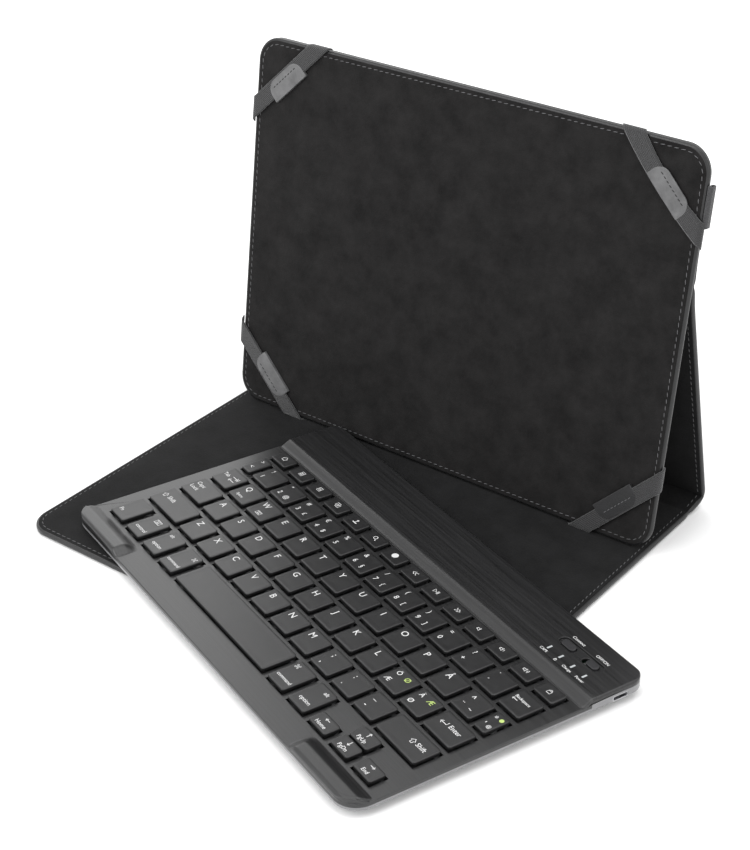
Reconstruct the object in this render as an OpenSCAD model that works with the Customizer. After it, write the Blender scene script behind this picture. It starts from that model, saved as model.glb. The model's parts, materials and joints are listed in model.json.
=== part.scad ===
// Tablet keyboard case: a folding cover that stands as an A-frame, with a
// separate low-profile keyboard lying on its base.
// Millimetres, +Z up, +X along the folds, +Y from the front edge to the spine.
// The origin is the centre of the base section's underside.

/* [Cover] */
// Width of the cover along its folds
case_w = 252; // [230:1:300]
// Depth of the base section, from its front edge to the first crease
base_d = 203; // [180:1:240]
// Width of the spine strip between its two creases
spine_w = 13.3; // [10:0.1:16]
// Radius of the cover's free corners
corner_r = 13; // [6:1:20]
// Thickness of the outer leather
leather_t = 0.8; // [0.6:0.1:1]
// Thickness of the stiffening boards
board_t = 1.4; // [1.2:0.1:1.8]
// Thickness of the suede lining
lining_t = 0.6; // [0.4:0.1:0.8]
// Width of the leather edge turned up round the lining
rim_w = 1.2; // [0.8:0.1:2]
// Gap left at each side of a crease
crease_gap = 0.6; // [0.4:0.1:1]

/* [Stand] */
// Height of the tablet panel
panel_h = 196.4; // [170:1:220]
// Height of the cover's upper section, which is sewn to the panel
upper_h = 64.7; // [55:1:75]
// Angle by which the tablet panel leans back from upright
panel_lean = 7.6; // [5:0.2:11]
// Distance from the first crease forward to the panel's lower edge
panel_foot = 44.7; // [38:0.5:52]
// Angle of the spine strip above the table
spine_tilt = 16.5; // [12:0.5:20]
// Clearance under the panel's lower edge
foot_clear = 0.3; // [0.2:0.1:0.5]
// Length of the board-free hinge strip below the top crease
hinge_zone = 16; // [14:1:24]
// Amount by which the tablet panel is wider than the cover
panel_extra = 0.8; // [0:0.1:2]
// Distance the panel is sewn off centre, to the right
panel_shift = 1.7; // [0:0.1:3]
// Distance the back and upper sections stand off centre, to the right
upper_shift = 1.2; // [0:0.1:2]

/* [Straps] */
// Width of the elastic corner straps
strap_w = 8.4; // [7:0.2:12]
// Thickness of the elastic
strap_t = 0.9; // [0.6:0.1:1.2]
// Distance from a panel corner to a strap's middle, along the edge
strap_reach = 37.4; // [30:0.2:45]
// Length of the leather grip tabs
tab_l = 24.6; // [18:0.2:32]
// Width of the leather grip tabs
tab_w = 10; // [8:0.5:14]
// Thickness of the grip tabs' leather
tab_t = 0.8; // [0.6:0.1:1.2]
// Length of the pen loop along the panel's edge
loop_l = 19.2; // [14:0.2:30]
// Gap inside the pen loop, which lies flat while it is empty
loop_gap = 0.9; // [0.6:0.1:3]
// Depth of the pen loop, through the cover's thickness
loop_depth = 4.6; // [3.5:0.1:6]

/* [Keyboard] */
// Length of the keyboard
kb_w = 250; // [246:1:262]
// Depth of the keyboard
kb_d = 150; // [148:0.5:156]
// Angle by which the keyboard is turned on the base
kb_turn = -20.4; // [-25:0.5:-15]
// Place of the keyboard's front left corner, across
kb_x = -108.9; // [-112:0.5:-104]
// Place of the keyboard's front left corner, behind the base's front edge
kb_y = 17; // [12:0.5:17]
// Height of the plate between the keys
plate_top = 4.2; // [4:0.1:4.6]
// Height of the rear bar
bar_top = 6.7; // [6.4:0.1:8]
// Depth of the rear bar's flat top
bar_d = 29; // [27:0.2:30]
// Height of the two ridges at the front corners
ridge_top = 6.7; // [6:0.1:7.4]
// Length of each front ridge at its crest
ridge_l = 40.4; // [30:0.2:55]
// Wall thickness of the keyboard's covers
wall = 1.2; // [1:0.1:1.5]
// Radius of the keyboard's front corners
kb_front_r = 11; // [5:1:13]
// Radius of the keyboard's rear corners
kb_rear_r = 8; // [7:0.5:12]

/* [Keys] */
// Width of a letter key
key_w = 14.25; // [13.5:0.05:14.8]
// Depth of a letter key
key_d = 13.8; // [13:0.1:14.4]
// Width of the narrow keys at the ends of two rows
narrow_w = 7.4; // [6:0.1:8]
// Width of a function key
fn_w = 12.8; // [12:0.1:13.4]
// Depth of a function key
fn_d = 8.6; // [8:0.1:9]
// Depth of the bottom row, space bar and its neighbours
bottom_d = 17.3; // [16:0.1:17.6]
// Gap between keys side by side
key_gap = 3.1; // [2.8:0.1:3.4]
// Gap between rows of keys
row_gap = 3.4; // [3:0.1:3.6]
// Distance from the keyboard's front edge to the bottom row
key_front = 15; // [14.5:0.1:15.5]
// Height of the key tops
key_top = 6.2; // [6:0.1:6.6]
// Thickness of a key cap
cap_t = 1.8; // [1.4:0.1:1.9]
// Travel of a key
key_travel = 1.3; // [1:0.1:1.4]
// Gap round a key in its opening
key_clear = 0.5; // [0.4:0.1:0.7]

/* [Hidden] */
$fn = 48;

// Colours
LEATHER = [0.13, 0.13, 0.135];
SUEDE = [0.17, 0.17, 0.175];
BOARD = [0.55, 0.47, 0.36];
ELASTIC = [0.22, 0.22, 0.23];
TAB = [0.42, 0.42, 0.43];
PLATE = [0.3, 0.3, 0.31];
SHELL = [0.62, 0.62, 0.61];
KEY = [0.2, 0.2, 0.205];
METAL = [0.75, 0.75, 0.77];
CIRCUIT = [0.1, 0.35, 0.2];
PALE = [0.9, 0.9, 0.88];

// Cover layers and the chain of creases, seen from the side
e = 0.01;
cover_t = leather_t + board_t + lining_t;
panel_w = case_w + panel_extra;
hinge_t = leather_t + lining_t;
flap_t = leather_t + board_t;
stack_t = flap_t + cover_t;
panel_low = panel_h - upper_h;
crease_1 = [base_d / 2, hinge_t];
crease_2 = crease_1 + spine_w * [cos(spine_tilt), sin(spine_tilt)];
panel_foot_at = [base_d / 2 - panel_foot, cover_t + foot_clear + cover_t * sin(panel_lean)];
crease_3 = panel_foot_at + panel_low * [sin(panel_lean), cos(panel_lean)]
    + stack_t * [cos(panel_lean), -sin(panel_lean)];
back_run = crease_3 - crease_2;
back_l = sqrt(back_run * back_run - hinge_t * hinge_t);
back_angle = atan2(back_run[1], back_run[0]) + atan2(hinge_t, back_l);
panel_angle = 90 - panel_lean;
back_start = 1;
board_end = back_l - hinge_zone;

// Keyboard shape
kb_foot_h = 0.3;
kb_rest_gap = 0.1;
floor_t = 1;
floor_top = kb_foot_h + floor_t;
split_z = 2.4;
split_rear_z = 4.4;
plate_t = 1;
bar_front = kb_d - bar_d;
cove_sink = 0.2;
cove_w = 5.4;
ridge_crest_d = 5.6;
ridge_slope = 7.2;
ridge_ramp = 6.4;
ridge_nose = 1.7;
rear_edge_r = 1.3;
under_inset = 1;
under_h = 0.7;

// Controls on the rear bar, measured from its right end and rear edge
recess_w = 28.4;
recess_d = 5.9;
recess_x = kb_w - 26.9;
recess_y = kb_d - 14.7;
recess_z = bar_top - 1.3;
button_w = 8.2;
knob_w = 6.8;
knob_d = 3.8;
knob_top = recess_z + 0.9;
knob_low = recess_z - 1.4;
knob_clear = 0.3;
button_x = recess_x - 8.7;
knob_x = recess_x + 7.6;
switch_travel = 2.5;
light_x = kb_w - 14.5;
light_pitch = 8.03;
light_y = kb_d - 22.9;
light_w = 1;
light_d = 2.8;
light_count = 4;
circuit_z = floor_top + 0.4;
circuit_t = 0.6;
circuit_l = 96;
circuit_top = circuit_z + circuit_t;
socket_y = kb_d - 14.6;
socket_w = 7.8;
socket_l = 5.4;
socket_h = 2.4;
socket_wall = 0.3;
socket_z = kb_foot_h + 0.45;
battery_l = 92;
battery_x = 22;
battery_h = 3.8;
screw_at = [[22, 6], [kb_w - 22, 6], [14, kb_d - 14], [kb_w / 2 + 6, kb_d - 14]];
foot_at = [[22, 6], [kb_w - 22, 6], [14, kb_d - 14], [kb_w - 14, kb_d - 14]];
foot_r = 4;
screw_head_r = 1.6;
screw_head_h = 0.6;
screw_r = 0.7;
screw_l = 3.1;
boss_r = 2.4;

// Key grid. A key is [x, y, width, depth] of its cap, from its left front corner
pitch = key_w + key_gap;
field_w = narrow_w + key_gap + 12 * pitch + key_w;
field_x = (kb_w - field_w) / 2 + 0.6;
row_bottom = key_front;
row_lower = row_bottom + bottom_d + row_gap;
row_middle = row_lower + key_d + row_gap;
row_upper = row_middle + key_d + row_gap;
row_number = row_upper + key_d + row_gap;
row_function = row_number + key_d + row_gap;
fn_pitch = (field_w - fn_w) / 13;
caps_w = (field_w - 11 * pitch - key_gap) / 2;
shift_w = (field_w - 10 * pitch - key_gap) / 2;
half_gap = 1;
half_d = (bottom_d - half_gap) / 2;
function run(x, y, count) = [for (i = [0:count - 1]) [x + i * pitch, y, key_w, key_d]];
function grid(index, y, depth) = [field_x + index * fn_pitch, y, fn_w, depth];
FUNCTION_KEYS = [for (i = [0:13]) grid(i, row_function, fn_d)];
NUMBER_KEYS = concat([[field_x, row_number, narrow_w, key_d]],
    run(field_x + narrow_w + key_gap, row_number, 12));
BACKSPACE = [[field_x + field_w - key_w, row_number, key_w, key_d]];
TAB_KEY = [[field_x, row_upper, key_w, key_d]];
UPPER_KEYS = concat(run(field_x + pitch, row_upper, 12),
    [[field_x + field_w - narrow_w, row_upper, narrow_w, key_d]]);
CAPS_LOCK = [[field_x, row_middle, caps_w, key_d]];
MIDDLE_KEYS = run(field_x + caps_w + key_gap, row_middle, 11);
ENTER = [[field_x + field_w - caps_w, row_middle, caps_w, key_d]];
LEFT_SHIFT = [[field_x, row_lower, shift_w, key_d]];
LOWER_KEYS = run(field_x + shift_w + key_gap, row_lower, 10);
RIGHT_SHIFT = [[field_x + field_w - shift_w, row_lower, shift_w, key_d]];
MODIFIER_KEYS = [for (i = [0, 1, 2, 3, 9, 10]) grid(i, row_bottom, bottom_d)];
SPACE = [[field_x + 4 * fn_pitch, row_bottom, 4 * fn_pitch + fn_w, bottom_d]];
ARROW_KEYS = [grid(11, row_bottom, half_d), grid(12, row_bottom, half_d),
    grid(13, row_bottom, half_d), grid(12, row_bottom + half_d + half_gap, half_d)];
ALL_KEYS = concat(FUNCTION_KEYS, NUMBER_KEYS, BACKSPACE, TAB_KEY, UPPER_KEYS, CAPS_LOCK,
    MIDDLE_KEYS, ENTER, LEFT_SHIFT, LOWER_KEYS, RIGHT_SHIFT, MODIFIER_KEYS, SPACE, ARROW_KEYS);

// ---- Frames: local X across, Y along the section, Z from the outer leather inwards
module in_base() { translate([0, -base_d / 2, 0]) children(); }
module in_spine() {
    translate([0, crease_1[0], crease_1[1]]) rotate([spine_tilt, 0, 0]) translate([0, 0, -hinge_t]) children();
}
module in_back() {
    translate([upper_shift, crease_2[0], crease_2[1]]) rotate([back_angle, 0, 0]) translate([0, 0, -hinge_t]) children();
}
module in_panel(shift = panel_shift) {
    translate([shift, crease_3[0], crease_3[1]]) rotate([panel_angle, 0, 0]) children();
}
module in_keyboard() {
    translate([kb_x, kb_y - base_d / 2, cover_t + kb_rest_gap]) rotate([0, 0, kb_turn]) children();
}

// ---- Shapes
// A rectangle centred on X from y0 to y1, with corner radii r0 at y0 and r1 at y1
module sheet(w, y0, y1, r0 = 0, r1 = 0) {
    a0 = max(r0, e);
    a1 = max(r1, e);
    translate([-w / 2, y0 + r0]) square([w, y1 - y0 - r0 - r1]);
    if (r0 > 0) {
        translate([-w / 2 + r0, y0]) square([w - 2 * r0, a0 + e]);
        for (s = [-1, 1]) translate([s * (w / 2 - r0), y0 + r0]) circle(r0);
    }
    if (r1 > 0) {
        translate([-w / 2 + r1, y1 - a1 - e]) square([w - 2 * r1, a1 + e]);
        for (s = [-1, 1]) translate([s * (w / 2 - r1), y1 - r1]) circle(r1);
    }
}

// A flat layer between two heights
module layer(z0, z1) { translate([0, 0, z0]) linear_extrude(z1 - z0) children(); }

// A profile drawn in (Y, Z), carried along X from x0 to x1
module carried(x0, x1) { translate([x0, 0, 0]) rotate([90, 0, 90]) linear_extrude(x1 - x0) children(); }

// ---- Cover sections
base_in_r = corner_r - rim_w;
base_end = base_d - crease_gap;
inner_w = case_w - 2 * rim_w;

module base_leather() {
    color(LEATHER) in_base() difference() {
        layer(0, cover_t) sheet(case_w, 0, base_end, corner_r);
        layer(leather_t, cover_t + 1) sheet(inner_w, rim_w, base_end + 1, base_in_r);
    }
}
module base_board() {
    color(BOARD) in_base() layer(leather_t, leather_t + board_t) sheet(inner_w, rim_w, base_end, base_in_r);
}
module base_lining() {
    color(SUEDE) in_base() layer(leather_t + board_t, cover_t) sheet(inner_w, rim_w, base_end, base_in_r);
}

module spine_leather() {
    color(LEATHER) in_spine() difference() {
        layer(0, hinge_t) sheet(case_w, crease_gap, spine_w - crease_gap);
        layer(leather_t, hinge_t + 1) sheet(inner_w, 0, spine_w);
    }
}
module spine_lining() {
    color(SUEDE) in_spine() layer(leather_t, hinge_t) sheet(inner_w, crease_gap, spine_w - crease_gap);
}

back_end = back_l - crease_gap;
module back_rim(x0, x1) {
    carried(x0, x1) union() {
        translate([back_start, 0]) square([back_end - back_start, hinge_t]);
        translate([back_start, 0]) square([board_end + lining_t - back_start, cover_t]);
    }
}
module back_leather() {
    color(LEATHER) in_back() union() {
        layer(0, leather_t) sheet(case_w, back_start, back_end);
        back_rim(-case_w / 2, -case_w / 2 + rim_w);
        back_rim(case_w / 2 - rim_w, case_w / 2);
    }
}
module back_board() {
    color(BOARD) in_back() layer(leather_t, leather_t + board_t) sheet(inner_w, back_start, board_end);
}
module back_lining() {
    color(SUEDE) in_back() carried(-inner_w / 2, inner_w / 2) union() {
        translate([back_start, cover_t - lining_t]) square([board_end + lining_t - back_start, lining_t]);
        translate([board_end, leather_t]) square([lining_t, cover_t - leather_t]);
        translate([board_end, leather_t]) square([back_end - board_end, lining_t]);
    }
}

// The cover's upper section, sewn flat to the back of the panel
module flap_leather() {
    color(LEATHER) in_panel(upper_shift) difference() {
        layer(0, flap_t) sheet(case_w, crease_gap, upper_h, 0, corner_r);
        layer(leather_t, flap_t + 1) sheet(inner_w, crease_gap - 1, upper_h - rim_w, 0, corner_r - rim_w);
    }
}
module flap_board() {
    color(BOARD) in_panel(upper_shift) layer(leather_t, flap_t)
        sheet(inner_w, crease_gap, upper_h - rim_w, 0, corner_r - rim_w);
}

// The panel that holds the tablet, facing forward
module panel_sheet(inset) {
    sheet(panel_w - 2 * inset, -panel_low + inset, upper_h - inset, corner_r - inset, corner_r - inset);
}
module panel_leather() {
    color(LEATHER) in_panel() difference() {
        layer(flap_t, stack_t) panel_sheet(0);
        layer(flap_t + leather_t, stack_t + 1) panel_sheet(rim_w);
    }
}
module panel_board() {
    color(BOARD) in_panel() layer(flap_t + leather_t, stack_t - lining_t) panel_sheet(rim_w);
}
module panel_lining() {
    color(SUEDE) in_panel() layer(stack_t - lining_t, stack_t) panel_sheet(rim_w);
}

// ---- Corner straps. Local X runs along the strap, +Y points at the panel's corner
module at_corner(side, top) {
    corner_y = top ? upper_h : -panel_low;
    outward = top ? 1 : -1;
    middle = strap_reach / 2;
    in_panel() translate([side * (panel_w / 2 - middle), corner_y - outward * middle, stack_t])
        rotate([0, 0, outward > 0 ? -side * 45 : 180 + side * 45]) children();
}
// The strap's ends follow the panel's edges, which meet it at 45 degrees
module strap(side, top) {
    half_l = strap_reach / sqrt(2);
    half_w = strap_w / 2;
    color(ELASTIC) at_corner(side, top) linear_extrude(strap_t) polygon([
        [-half_l - half_w, -half_w], [half_l + half_w, -half_w],
        [half_l - half_w, half_w], [-half_l + half_w, half_w]
    ]);
}
// A piece of leather folded over the strap's inner side, rounded towards the corner.
// It sits along the strap by the distance slide from its middle
module grip_tab(side, top, slide) {
    fold = 2.2;
    inner = -strap_w / 2;
    round_r = tab_w * 0.6;
    color(TAB) at_corner(side, top) translate([slide, 0, 0]) {
        translate([-tab_l / 2, inner - fold, 0]) cube([tab_l, fold, strap_t + tab_t]);
        layer(strap_t, strap_t + tab_t) intersection() {
            union() {
                translate([-tab_l / 2, inner - fold]) square([tab_l, tab_w - round_r]);
                translate([-tab_l / 2 + round_r, inner - fold]) square([tab_l - 2 * round_r, tab_w]);
                for (s = [-1, 1]) translate([s * (tab_l / 2 - round_r), inner - fold + tab_w - round_r]) circle(round_r);
            }
            translate([-tab_l / 2, inner - fold]) square([tab_l, tab_w]);
        }
    }
}

// Elastic loop for a pen, sewn to the panel's right edge and lying flat
loop_wall = 0.7;
loop_low = 29.2;
module loop_shape(inset) {
    w = loop_gap + 2 * loop_wall - 2 * inset;
    d = loop_depth - 2 * inset;
    r = w / 2;
    translate([inset, inset]) square([w - r, d]);
    translate([inset, inset + r]) square([w, d - 2 * r]);
    for (z = [r, d - r]) translate([inset + w - r, inset + z]) circle(r);
}
module pen_loop() {
    color(ELASTIC) in_panel() translate([panel_w / 2, loop_low + loop_l, (stack_t - loop_depth) / 2])
        rotate([90, 0, 0]) linear_extrude(loop_l) difference() {
            loop_shape(0);
            loop_shape(loop_wall);
        }
}

// ---- Keyboard covers
module kb_outline(inset = 0) {
    translate([kb_w / 2, 0]) sheet(kb_w - 2 * inset, inset, kb_d - inset, kb_front_r - inset, kb_rear_r - inset);
}
module screw_holes(r, z0, z1) { for (p = screw_at) translate([p[0], p[1], z0]) cylinder(r = r, h = z1 - z0); }
module socket_opening() {
    translate([kb_w - socket_l - 0.4, socket_y - socket_w / 2 - 0.1, socket_z - 0.1])
        cube([socket_l + 1.4, socket_w + 0.2, socket_h + 0.2]);
}

module keyboard_bottom_cover() {
    rear_wall_y = bar_front - 1;
    color(SHELL) in_keyboard() difference() {
        union() {
            layer(kb_foot_h, kb_foot_h + under_h) kb_outline(under_inset);
            layer(kb_foot_h + under_h - e, split_z) kb_outline();
            layer(kb_foot_h + under_h - e, split_rear_z) intersection() {
                kb_outline();
                translate([-1, rear_wall_y]) square([kb_w + 2, kb_d]);
            }
        }
        difference() {
            layer(floor_top, split_rear_z + 1) kb_outline(wall);
            screw_holes(boss_r + 0.8, floor_top - 1, floor_top + 0.6);
        }
        translate([wall, rear_wall_y - 1, split_z]) cube([kb_w - 2 * wall, wall + 2, split_rear_z]);
        screw_holes(screw_head_r + 0.2, 0, kb_foot_h + screw_head_h);
        screw_holes(screw_r + 0.1, 0, split_rear_z);
        socket_opening();
    }
}

// Radius of a hollow that ends level with the plate, given its run and rise
function cove_r(run, rise) = (run * run + rise * rise) / (2 * rise);

// The rear bar's outside in (Y, Z), with a hollow cove in front
module bar_profile() {
    rise = bar_top - plate_top + cove_sink;
    r = cove_r(cove_w, rise);
    translate([bar_front, split_z]) square([bar_d - rear_edge_r, bar_top - split_z]);
    translate([bar_front, split_z]) square([bar_d, bar_top - rear_edge_r - split_z]);
    translate([kb_d - rear_edge_r, bar_top - rear_edge_r]) circle(rear_edge_r);
    difference() {
        translate([bar_front - cove_w, plate_top - cove_sink]) square([cove_w + e, rise]);
        translate([bar_front - cove_w, plate_top - cove_sink + r]) circle(r);
    }
}
// The rear bar in (X, Z), with both ends' upper edges rounded
module bar_length() {
    translate([0, split_z]) square([kb_w, bar_top - rear_edge_r - split_z]);
    translate([rear_edge_r, split_z]) square([kb_w - 2 * rear_edge_r, bar_top - split_z]);
    for (x = [rear_edge_r, kb_w - rear_edge_r]) translate([x, bar_top - rear_edge_r]) circle(rear_edge_r);
}
// One front ridge's outside in (Y, Z): a rounded nose, a crest and a hollow slope
module ridge_profile() {
    rise = ridge_top - plate_top + cove_sink;
    r = cove_r(ridge_slope, rise);
    translate([0, split_z]) square([ridge_crest_d, ridge_top - ridge_nose - split_z]);
    translate([ridge_nose, split_z]) square([ridge_crest_d - ridge_nose, ridge_top - split_z]);
    translate([ridge_nose, ridge_top - ridge_nose]) circle(ridge_nose);
    difference() {
        translate([ridge_crest_d - e, plate_top - cove_sink]) square([ridge_slope + e, rise]);
        translate([ridge_crest_d + ridge_slope, plate_top - cove_sink + r]) circle(r);
    }
}
// The same ridge in (X, Z): a rounded end, a crest and a hollow ramp at its inner end
module ridge_length() {
    rise = ridge_top - plate_top + cove_sink;
    r = cove_r(ridge_ramp, rise);
    translate([0, split_z]) square([ridge_l, ridge_top - ridge_nose - split_z]);
    translate([ridge_nose, split_z]) square([ridge_l - ridge_nose, ridge_top - split_z]);
    translate([ridge_nose, ridge_top - ridge_nose]) circle(ridge_nose);
    difference() {
        translate([ridge_l - e, plate_top - cove_sink]) square([ridge_ramp + e, rise]);
        translate([ridge_l + ridge_ramp, plate_top - cove_sink + r]) circle(r);
    }
}
module ridge() {
    intersection() {
        carried(0, ridge_l + ridge_ramp) ridge_profile();
        translate([0, kb_d / 2, 0]) rotate([90, 0, 0]) linear_extrude(kb_d) ridge_length();
    }
}
module obround(w, d) {
    square([w - d, d], center = true);
    for (s = [-1, 1]) translate([s * (w - d) / 2, 0]) circle(d / 2);
}

module keyboard_top_cover() {
    color(PLATE) in_keyboard() difference() {
        union() {
            layer(split_z, plate_top) difference() {
                kb_outline();
                translate([-1, bar_front - 1]) square([kb_w + 2, kb_d]);
            }
            intersection() {
                layer(split_z, bar_top + 1) kb_outline();
                union() {
                    intersection() {
                        carried(0, kb_w) bar_profile();
                        translate([0, kb_d + 1, 0]) rotate([90, 0, 0]) linear_extrude(kb_d) bar_length();
                    }
                    carried(0, kb_w) translate([bar_front - 1, split_z]) square([1 + e, plate_top - split_z]);
                    ridge();
                    translate([kb_w, 0, 0]) mirror([1, 0, 0]) ridge();
                }
            }
        }
        // room for the keys' works under the plate
        layer(split_z - 1, plate_top - plate_t) intersection() {
            kb_outline(wall);
            translate([0, ridge_crest_d + 6]) square([kb_w, bar_front + 1 - ridge_crest_d - 6]);
        }
        // the bar is hollow, but for a boss round each rear screw
        difference() {
            union() {
                layer(split_z - 1, split_rear_z) intersection() {
                    kb_outline(-1);
                    translate([-1, bar_front - 1]) square([kb_w + 2, kb_d]);
                }
                layer(split_z - 1, bar_top - wall) intersection() {
                    kb_outline(wall);
                    translate([0, bar_front + wall]) square([kb_w, kb_d]);
                }
            }
            for (p = screw_at) if (p[1] > bar_front) translate([p[0], p[1], floor_top + 0.6])
                cylinder(r = boss_r, h = bar_top - wall);
            translate([recess_x - recess_w / 2 - 1, recess_y - recess_d / 2 - 1, knob_low + 0.3])
                cube([recess_w + 2, recess_d + 2, bar_top]);
        }
        screw_holes(screw_r + 0.05, 0, plate_top - 0.4);
        for (k = ALL_KEYS) translate([k[0] - key_clear, k[1] - key_clear, split_z])
            cube([k[2] + 2 * key_clear, k[3] + 2 * key_clear, plate_top]);
        translate([recess_x, recess_y, recess_z]) linear_extrude(bar_top) obround(recess_w, recess_d);
        translate([button_x, recess_y, 0]) linear_extrude(bar_top)
            obround(button_w + 2 * knob_clear, knob_d + 2 * knob_clear);
        translate([knob_x - switch_travel / 2, recess_y, 0]) linear_extrude(bar_top)
            obround(knob_w + switch_travel + 2 * knob_clear, knob_d + 2 * knob_clear);
        light_slots(0.02);
        socket_opening();
    }
}

// Four slots in a row, towards the bar's right end
module light_slots(grow) {
    for (i = [0:light_count - 1]) translate([light_x - i * light_pitch, light_y, bar_top / 2])
        linear_extrude(bar_top) square([light_w + 2 * grow, light_d + 2 * grow], center = true);
}
module light_pipes() {
    pipe_low = bar_top - wall - 1;
    color(PALE) in_keyboard() intersection() {
        light_slots(0);
        layer(pipe_low, bar_top - 0.05) square([kb_w, kb_d]);
    }
}

// ---- What the keyboard holds
sheet_top = floor_top + 0.4;
module key_contact_sheet() {
    margin = 2.5;
    color(PALE) in_keyboard() layer(floor_top, sheet_top)
        translate([field_x - margin, key_front - margin + 1]) square([field_w + 2 * margin, row_function + fn_d - key_front + margin]);
}
// Where each key is carried: its middle
function middle_of(k) = [k[0] + k[2] / 2, k[1] + k[3] / 2];
support_w = 7;
support_h = 0.7;
// Flat lifting frame under each key, folded as when the key is down
module key_supports() {
    color(PALE) in_keyboard() for (k = ALL_KEYS) translate([middle_of(k)[0], middle_of(k)[1], sheet_top])
        linear_extrude(support_h) difference() {
            square(min(support_w, k[2] - 0.6, k[3] - 0.6), center = true);
            square(min(support_w, k[2] - 0.6, k[3] - 0.6) - 1.2, center = true);
        }
}
// Rubber dome under each key, at the height it has when pressed
module key_domes() {
    color(ELASTIC) in_keyboard() for (k = ALL_KEYS) translate([middle_of(k)[0], middle_of(k)[1], sheet_top])
        cylinder(r1 = 2.2, r2 = 1.3, h = support_h);
}
module battery() {
    color(METAL) in_keyboard() translate([battery_x, bar_front + wall + 1, floor_top + 0.1])
        cube([battery_l, bar_d - 2 * wall - 2, battery_h]);
}
// The circuit board is cut away round the socket, which is as deep as the case allows
module circuit_board() {
    board_d = bar_d - 2 * wall - 1;
    color(CIRCUIT) in_keyboard() translate([kb_w - wall - 0.3 - circuit_l, bar_front + wall + 0.5, circuit_z])
        difference() {
            cube([circuit_l, board_d, circuit_t]);
            translate([circuit_l - kb_rear_r, board_d - kb_rear_r, -1]) cube(kb_rear_r + 1);
            translate([circuit_l - socket_l, socket_y - bar_front - wall - 0.5 - socket_w / 2 - 0.3, -1])
                cube([socket_l + 1, socket_w + 0.6, circuit_t + 2]);
        }
}
module usb_socket() {
    color(METAL) in_keyboard() translate([kb_w - 0.3 - socket_l, socket_y - socket_w / 2, socket_z]) difference() {
        cube([socket_l, socket_w, socket_h]);
        translate([1, socket_wall, socket_wall]) cube([socket_l, socket_w - 2 * socket_wall, socket_h - 2 * socket_wall]);
    }
}
switch_body = [9, 3.6, knob_low - circuit_top - 0.8];
module switch_housing(x) {
    color(METAL) in_keyboard() translate([x - switch_body[0] / 2, recess_y - switch_body[1] / 2, circuit_top])
        cube(switch_body);
}
module connect_switch_body() { switch_housing(button_x); }
module power_switch_body() { switch_housing(knob_x - switch_travel / 2); }
module keyboard_feet() {
    color(ELASTIC) in_keyboard() for (p = foot_at) translate([p[0], p[1], 0]) cylinder(r = foot_r, h = kb_foot_h);
}
module cover_screws() {
    color(METAL) in_keyboard() for (p = screw_at) translate([p[0], p[1], kb_foot_h + 0.05]) {
        cylinder(r = screw_head_r, h = screw_head_h - 0.05);
        cylinder(r = screw_r, h = screw_l - 0.1);
    }
}

// ---- What moves on the keyboard
module knob(x, w) {
    color(KEY) in_keyboard() translate([x, recess_y, knob_low]) linear_extrude(knob_top - knob_low) obround(w, knob_d);
}
module connect_button() { knob(button_x, button_w); }
module power_switch() { knob(knob_x, knob_w); }

// Key caps with small round corners
cap_r = 1;
module caps(keys) {
    color(KEY) in_keyboard() for (k = keys) translate([k[0] + k[2] / 2, k[1], key_top - cap_t])
        linear_extrude(cap_t) sheet(k[2], 0, k[3], cap_r, cap_r);
}

base_leather();
base_board();
base_lining();
spine_leather();
spine_lining();
back_leather();
back_board();
back_lining();
flap_leather();
flap_board();
panel_leather();
panel_board();
panel_lining();
strap(-1, true);  // strap_top_left
strap(1, true);  // strap_top_right
strap(-1, false);  // strap_bottom_left
strap(1, false);  // strap_bottom_right
grip_tab(-1, true, 0);  // grip_tab_top_left
grip_tab(1, true, 3.7);  // grip_tab_top_right
grip_tab(-1, false, -2.6);  // grip_tab_bottom_left
grip_tab(1, false, 0);  // grip_tab_bottom_right
pen_loop();
keyboard_bottom_cover();
keyboard_top_cover();
key_contact_sheet();
key_supports();
key_domes();
battery();
circuit_board();
usb_socket();
light_pipes();
connect_switch_body();
power_switch_body();
keyboard_feet();
cover_screws();
connect_button();
power_switch();
caps(FUNCTION_KEYS);  // keys_function
caps(NUMBER_KEYS);  // keys_number
caps(BACKSPACE);  // key_backspace
caps(TAB_KEY);  // key_tab
caps(UPPER_KEYS);  // keys_upper_letters
caps(CAPS_LOCK);  // key_caps_lock
caps(MIDDLE_KEYS);  // keys_middle_letters
caps(ENTER);  // key_enter
caps(LEFT_SHIFT);  // key_left_shift
caps(LOWER_KEYS);  // keys_lower_letters
caps(RIGHT_SHIFT);  // key_right_shift
caps(MODIFIER_KEYS);  // keys_modifier
caps(SPACE);  // key_space
caps(ARROW_KEYS);  // keys_arrow
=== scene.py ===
import json
import math

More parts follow.
